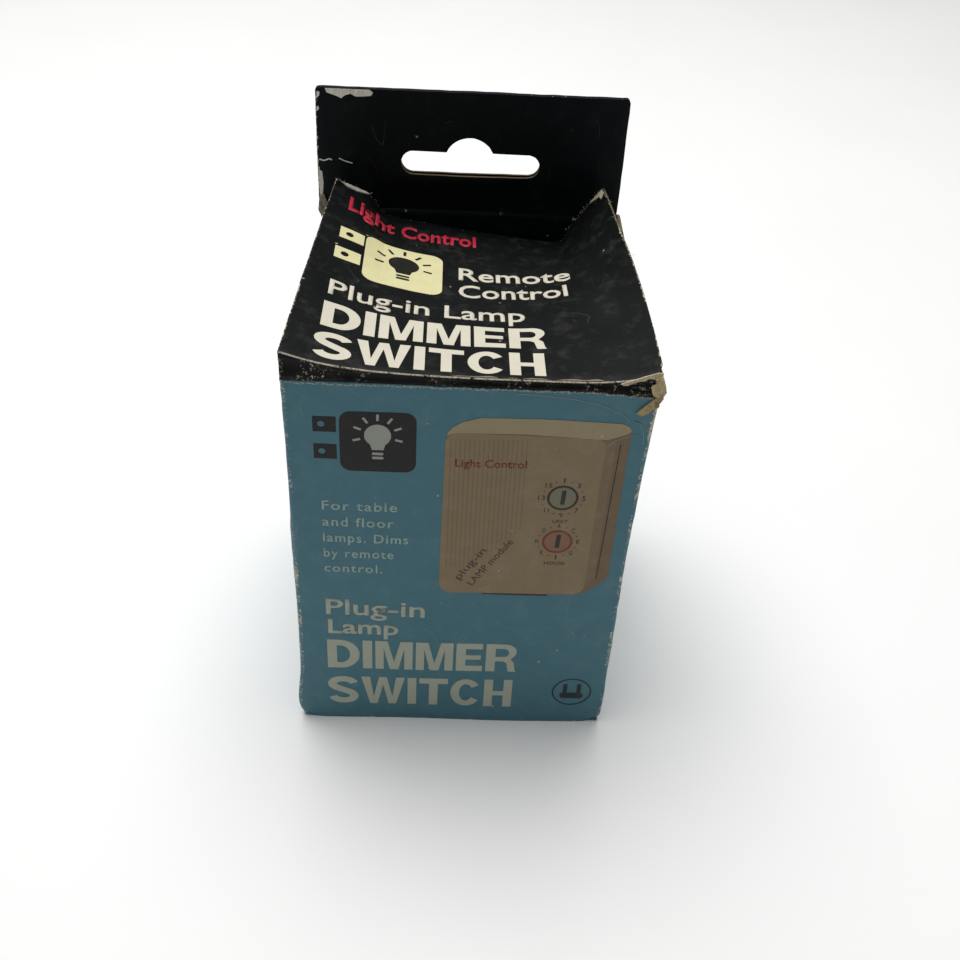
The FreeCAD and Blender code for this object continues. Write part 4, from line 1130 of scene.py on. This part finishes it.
flake("torn_rear_corner", [(-34.3, 98.6), (-33.2, 99.0), (-32.6, 97.0), (-33.1, 94.8),
                           (-34.0, 93.4), (-34.7, 95.2)], rear_corner, "carton", 0.4,
      (150, 140, 120))
flake("left_ear_paper", [(-29.6, 31.6), (-28.2, 32.2), (-26.4, 32.3), (-24.4, 32.4),
                         (-23.2, 32.3), (-24.0, 31.6), (-25.8, 30.9), (-27.4, 31.0),
                         (-28.6, 30.9)], ear_face, "lid", 0.25, (210, 204, 188))
flake("right_ear_paper", [(27.3, 32.3), (28.3, 32.4), (29.7, 32.4), (29.9, 30.6), (29.3, 29.4),
                          (29.0, 31.0), (28.2, 31.5)], ear_face, "lid", 0.25, (214, 204, 180))
# The worn patches are bare white paper, made as bright as paper can be to paint in the light the
# tab's top edge catches from above.
worn_paper_with_painted_light = raw_board("worn_tab_paper_with_painted_light", (252, 248, 234), 0.5)
lay_ink("tab_worn_patches",
        [flat_shape([[(-32.3, 27.9), (-32.0, 27.0), (-30.8, 26.6), (-29.6, 26.2), (-28.8, 25.8),
                      (-28.0, 26.5), (-26.8, 26.9), (-25.6, 26.3), (-24.0, 26.4), (-22.3, 26.6),
                      (-21.9, 27.3), (-22.6, 27.9)],
                     [(-34.1, 27.2), (-33.5, 27.0), (-33.6, 26.2), (-34.2, 25.6)],
                     [(-34.3, 23.6), (-33.8, 23.9), (-33.7, 23.2), (-34.3, 22.6)],
                     [(-34.3, 9.2), (-33.5, 8.6), (-33.3, 6.0), (-33.5, 3.2), (-33.2, 1.0),
                      (-34.2, 0.8)]]),
         flat_shape([stroke([(-34.0, 11.6), (-33.0, 11.3), (-31.8, 11.8), (-31.2, 11.5)], 0.3)]),
         flat_shape([stroke([(-29.6, 12.0), (-28.4, 11.4), (-26.6, 10.9)], 0.22)])],
        tab_face, worn_paper_with_painted_light, "carton", 1.2, 0.06)
front_ink("front_creases",
          [flat_shape([stroke([(9, 94.7), (14, 94.5), (20, 93.9), (25, 92.9), (29, 91.2),
                               (31.4, 89.2)], 0.12)]),
           flat_shape([stroke([(27.6, 82.8), (28.8, 84.4), (31.6, 85.6), (33.4, 86.2)], 0.11)]),
           flat_shape([stroke([(31.6, 89.4), (33.2, 88.9), (34.3, 86.2), (34.4, 83.6)], 0.12)])],
          (128, 150, 148), film=0.07)


def lid_line(start, end, back, steps=14):
    return [lid_point(start + (end - start) * i / steps, back) - Vector((0, 0, 0.3))
            for i in range(steps + 1)]


fray("left_ear_fibres", lid_line(0.02, 1.9, 1.0), "lid", 60, 0.9, 0.06, 0.25, 3)
fray("right_ear_fibres", lid_line(3.5, 4.98, 1.0), "lid", 60, 1.0, 0.06, 0.3, 4)
fray("front_corner_fibres", [(35.2, -36.9, 96.3), (35.8, -36.7, 97.4), (35.3, -36.3, 99.6)],
     "lid", 50, 1.0, 0.07, 0.5, 5)
fray("left_corner_fibres", [(-34.9, -35.7, 97.5), (-34.9, -35.9, 101.2)], "lid",
     24, 0.8, 0.05, 0.3, 6)
fray("right_edge_fibres", [tuple(lid_point(LID_KNEES, back)) for back in (0.55, 0.7, 0.85, 0.98)],
     "lid", 50, 0.9, 0.05, 0.3, 7)
fray("bottom_corner_fibres", [(-34.2, -35.2, 0.9), (-33.6, -34.9, 2.6)], "carton",
     26, 0.7, 0.05, 0.3, 8)

# ---------------------------------------------------------------------------------------------
# Module housing: front cover and rear base moulded in ivory plastic, their seam round the sides,
# with four screws sunk in the back. The moulding is satin, faintly speckled and yellowed.
# ---------------------------------------------------------------------------------------------


def moulded(name, tint, gloss=0.38, speckle=0.3, depth=0.02):
    finish = Finish(name)
    skin = finish.grain(0.4, 3.0)
    cloud = finish.grain(18.0, 3.0)
    mark = abs(finish.grain(12.0, 2.0, stretch=(1, 1, 3)) - 0.5).rise(0.004, 0.001)
    base = colour(*tint)
    aged = (base[0] * 0.86, base[1] * 0.78, base[2] * 0.62, 1)
    paint = finish.blend(cloud.rise(0.35, 0.75) * 0.5 + skin.rise(0.55, 0.7) * speckle * 0.4,
                         base, aged)
    return finish.coat(paint, skin * 0.16 + cloud * 0.1 + gloss + mark * 0.2, skin, depth)


ivory = moulded("ivory_moulding", (206, 188, 152))
repaint(ivory, "front_cover")
repaint(moulded("ivory_base_moulding", (200, 181, 146), 0.42), "rear_base")


def plated(name, tint, gloss=0.28, brush=(1, 1, 1)):
    finish = Finish(name)
    lines = finish.grain(0.3, 3.0, stretch=brush)
    tarnish = finish.grain(5.0, 4.0)
    base = colour(*tint)
    dull = tuple(v * 0.6 for v in base[:3]) + (1,)
    paint = finish.blend(tarnish.rise(0.4, 0.7), base, dull)
    return finish.coat(paint, lines * 0.15 + tarnish * 0.2 + gloss, lines, 0.01, Metallic=1.0)


repaint(plated("zinc_plated_steel", (190, 192, 190)), "housing_screws")
RIB_TALL = 0.4
FACE_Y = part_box("front_cover")[0][1] / MM + RIB_TALL
DIAL_X, UNIT_Z, HOUSE_Z = 15.0, 48.15, 28.45


def cover_face(x, z, lift=0.0):
    return (x, FACE_Y - lift, z)


def legend(name, drawings, tint):
    finish = moulded(name + "_paint", tint, 0.5, 0.1, 0.01)
    return lay_ink(name, drawings, cover_face, finish, "module", 6.0, 0.04)


legend("unit_codes", dial_codes(DIAL_X, UNIT_Z, ("1", "3", "5", "7", "9", "11", "13", "15"),
                                8.2, 8.2, 1.7), (40, 38, 36))
legend("house_codes", dial_codes(DIAL_X, HOUSE_Z, ("A", "C", "E", "G", "I", "K", "M", "O"),
                                 8.2, 8.2, 1.7), (40, 38, 36))
legend("dial_names", [lettering("UNIT", DIAL_X - 3, UNIT_Z + 11, 6, 1.5, 0.005),
                      lettering("HOUSE", DIAL_X - 3.8, HOUSE_Z - 12, 7.6, 1.5, 0.005)],
       (40, 38, 36))

# ---------------------------------------------------------------------------------------------
# Dials: each code is set with a coin in a moulded knob. A coloured ring pressed into the cover
# frames it, and the knob turns a brass wiper on a rotary switch that is soldered to the board.
# ---------------------------------------------------------------------------------------------
repaint(moulded("knob_moulding", (172, 158, 128), 0.42), "unit_dial", "house_dial")
repaint(moulded("black_ring_moulding", (30, 30, 30), 0.25), "unit_dial_ring")
repaint(moulded("red_ring_moulding", (150, 36, 26), 0.25), "house_dial_ring")
repaint(moulded("switch_moulding", (214, 208, 190), 0.5), "unit_switch_body", "house_switch_body")
repaint(plated("wiper_brass", (212, 172, 98)), "unit_wiper", "house_wiper")

# ---------------------------------------------------------------------------------------------
# Blades and outlet: two rolled brass blades stand out of the back, and a dark outlet block in the
# bottom end holds a folded brass contact for each of the lamp plug's blades.
# ---------------------------------------------------------------------------------------------
repaint(plated("rolled_brass", (214, 176, 104), 0.22, (1, 6, 1)), "line_blade", "neutral_blade")
repaint(plated("contact_brass", (206, 164, 92)), "line_contact", "neutral_contact")
repaint(moulded("dark_outlet_moulding", (42, 34, 28), 0.45), "outlet_block")

# ---------------------------------------------------------------------------------------------
# Circuit board: brown phenolic laminate with the triac on its heat sink, a wound choke, two
# capacitors, a coil can, a code chip and small parts, all soldered and wired to the blades.
# ---------------------------------------------------------------------------------------------


def laminate():
    finish = Finish("phenolic_laminate")
    weave = finish.grain(0.6, 4.0, stretch=(5, 1, 1))
    tracks = finish.grain(7.0, 1.0).rise(0.49, 0.51)
    paint = finish.blend(weave, colour(118, 78, 36), colour(158, 112, 58))
    paint = finish.blend(tracks * 0.35, paint, colour(96, 84, 30))
    return finish.coat(paint, weave * 0.2 + 0.4, tracks + weave * 0.3, 0.04)


repaint(laminate(), "circuit_board")
repaint(plated("finned_aluminium", (196, 198, 200), 0.35, (1, 1, 8)), "heat_sink")
repaint(plated("tinned_can", (178, 180, 180), 0.3), "signal_coil_can")
for look, tint, gloss, nodes in (
        ("dull_epoxy", (34, 34, 36), 0.55, ("triac", "control_chip", "diodes")),
        ("orange_dip", (186, 104, 30), 0.3, ("mains_capacitor",)),
        ("blue_sleeve", (34, 56, 110), 0.3, ("filter_capacitor",)),
        ("painted_ferrite", (196, 176, 60), 0.5, ("choke_core",)),
        ("lacquered_body", (190, 160, 112), 0.35, ("resistors",)),
        ("wire_cover_black", (28, 28, 30), 0.4, ("line_wire", "load_wire")),
        ("wire_cover_white", (214, 210, 200), 0.4, ("neutral_wire",))):
    repaint(moulded(look, tint, gloss), *nodes)
repaint(plated("enamelled_copper", (176, 92, 44), 0.25, (1, 1, 3)), "choke_winding")

# ---------------------------------------------------------------------------------------------
# Floor, lights and camera: a plain pale floor under a large soft light from above and behind, so
# that the front stands in its own shade.
# ---------------------------------------------------------------------------------------------


def make_stage():
    finish = Finish("pale_floor")
    soft = finish.grain(60.0, 2.0)
    white = finish.blend(soft, colour(246, 246, 245), colour(250, 250, 249))
    material = finish.coat(white, soft * 0.1 + 0.7)
    mesh = bpy.data.meshes.new("floor")
    mesh.from_pydata([(-3, -3, 0), (3, -3, 0), (3, 3, 0), (-3, 3, 0)], [], [(0, 1, 2, 3)])
    mesh.materials.append(material)
    floor = bpy.data.objects.new("floor", mesh)
    bpy.context.scene.collection.objects.link(floor)


def soft_light(name, place, aim, size, power):
    light = bpy.data.lights.new(name, "AREA")
    light.shape, light.size, light.energy = "DISK", size, power
    lamp = bpy.data.objects.new(name, light)
    lamp.location = place
    lamp.rotation_euler = (Vector(place) - Vector(aim)).to_track_quat("Z", "Y").to_euler()
    bpy.context.scene.collection.objects.link(lamp)


def make_world():
    world = bpy.data.worlds.new("studio")
    world.use_nodes = True
    sky = world.node_tree.nodes["Background"]
    sky.inputs["Color"].default_value = (1, 1, 1, 1)
    sky.inputs["Strength"].default_value = 0.2
    bpy.context.scene.world = world


def make_camera():
    azimuth, elevation, roll = (math.radians(v) for v in (-2.672, 39.303, 3.438))
    ahead = Vector((-math.sin(azimuth) * math.cos(elevation),
                    math.cos(azimuth) * math.cos(elevation), -math.sin(elevation)))
    across = ahead.cross(Vector((0, 0, 1))).normalized()
    upward = across.cross(ahead)
    right = across * math.cos(roll) + upward * math.sin(roll)
    top = upward * math.cos(roll) - across * math.sin(roll)
    lens = bpy.data.cameras.new("camera")
    lens.sensor_width, lens.lens = 36.0, 46.4
    lens.clip_start = 0.01
    camera = bpy.data.objects.new("camera", lens)
    camera.matrix_world = Matrix.Translation(Vector((-5.79, -226.74, 229.71)) * MM) @ Matrix(
        (right, top, -ahead)).transposed().to_4x4()
    bpy.context.scene.collection.objects.link(camera)
    bpy.context.scene.camera = camera


make_stage()
make_world()
soft_light("overhead", (-0.1, 0.2, 0.95), (0, 0, 0.05), 0.9, 10.5)
make_camera()
bpy.context.scene.view_settings.view_transform = "Standard"
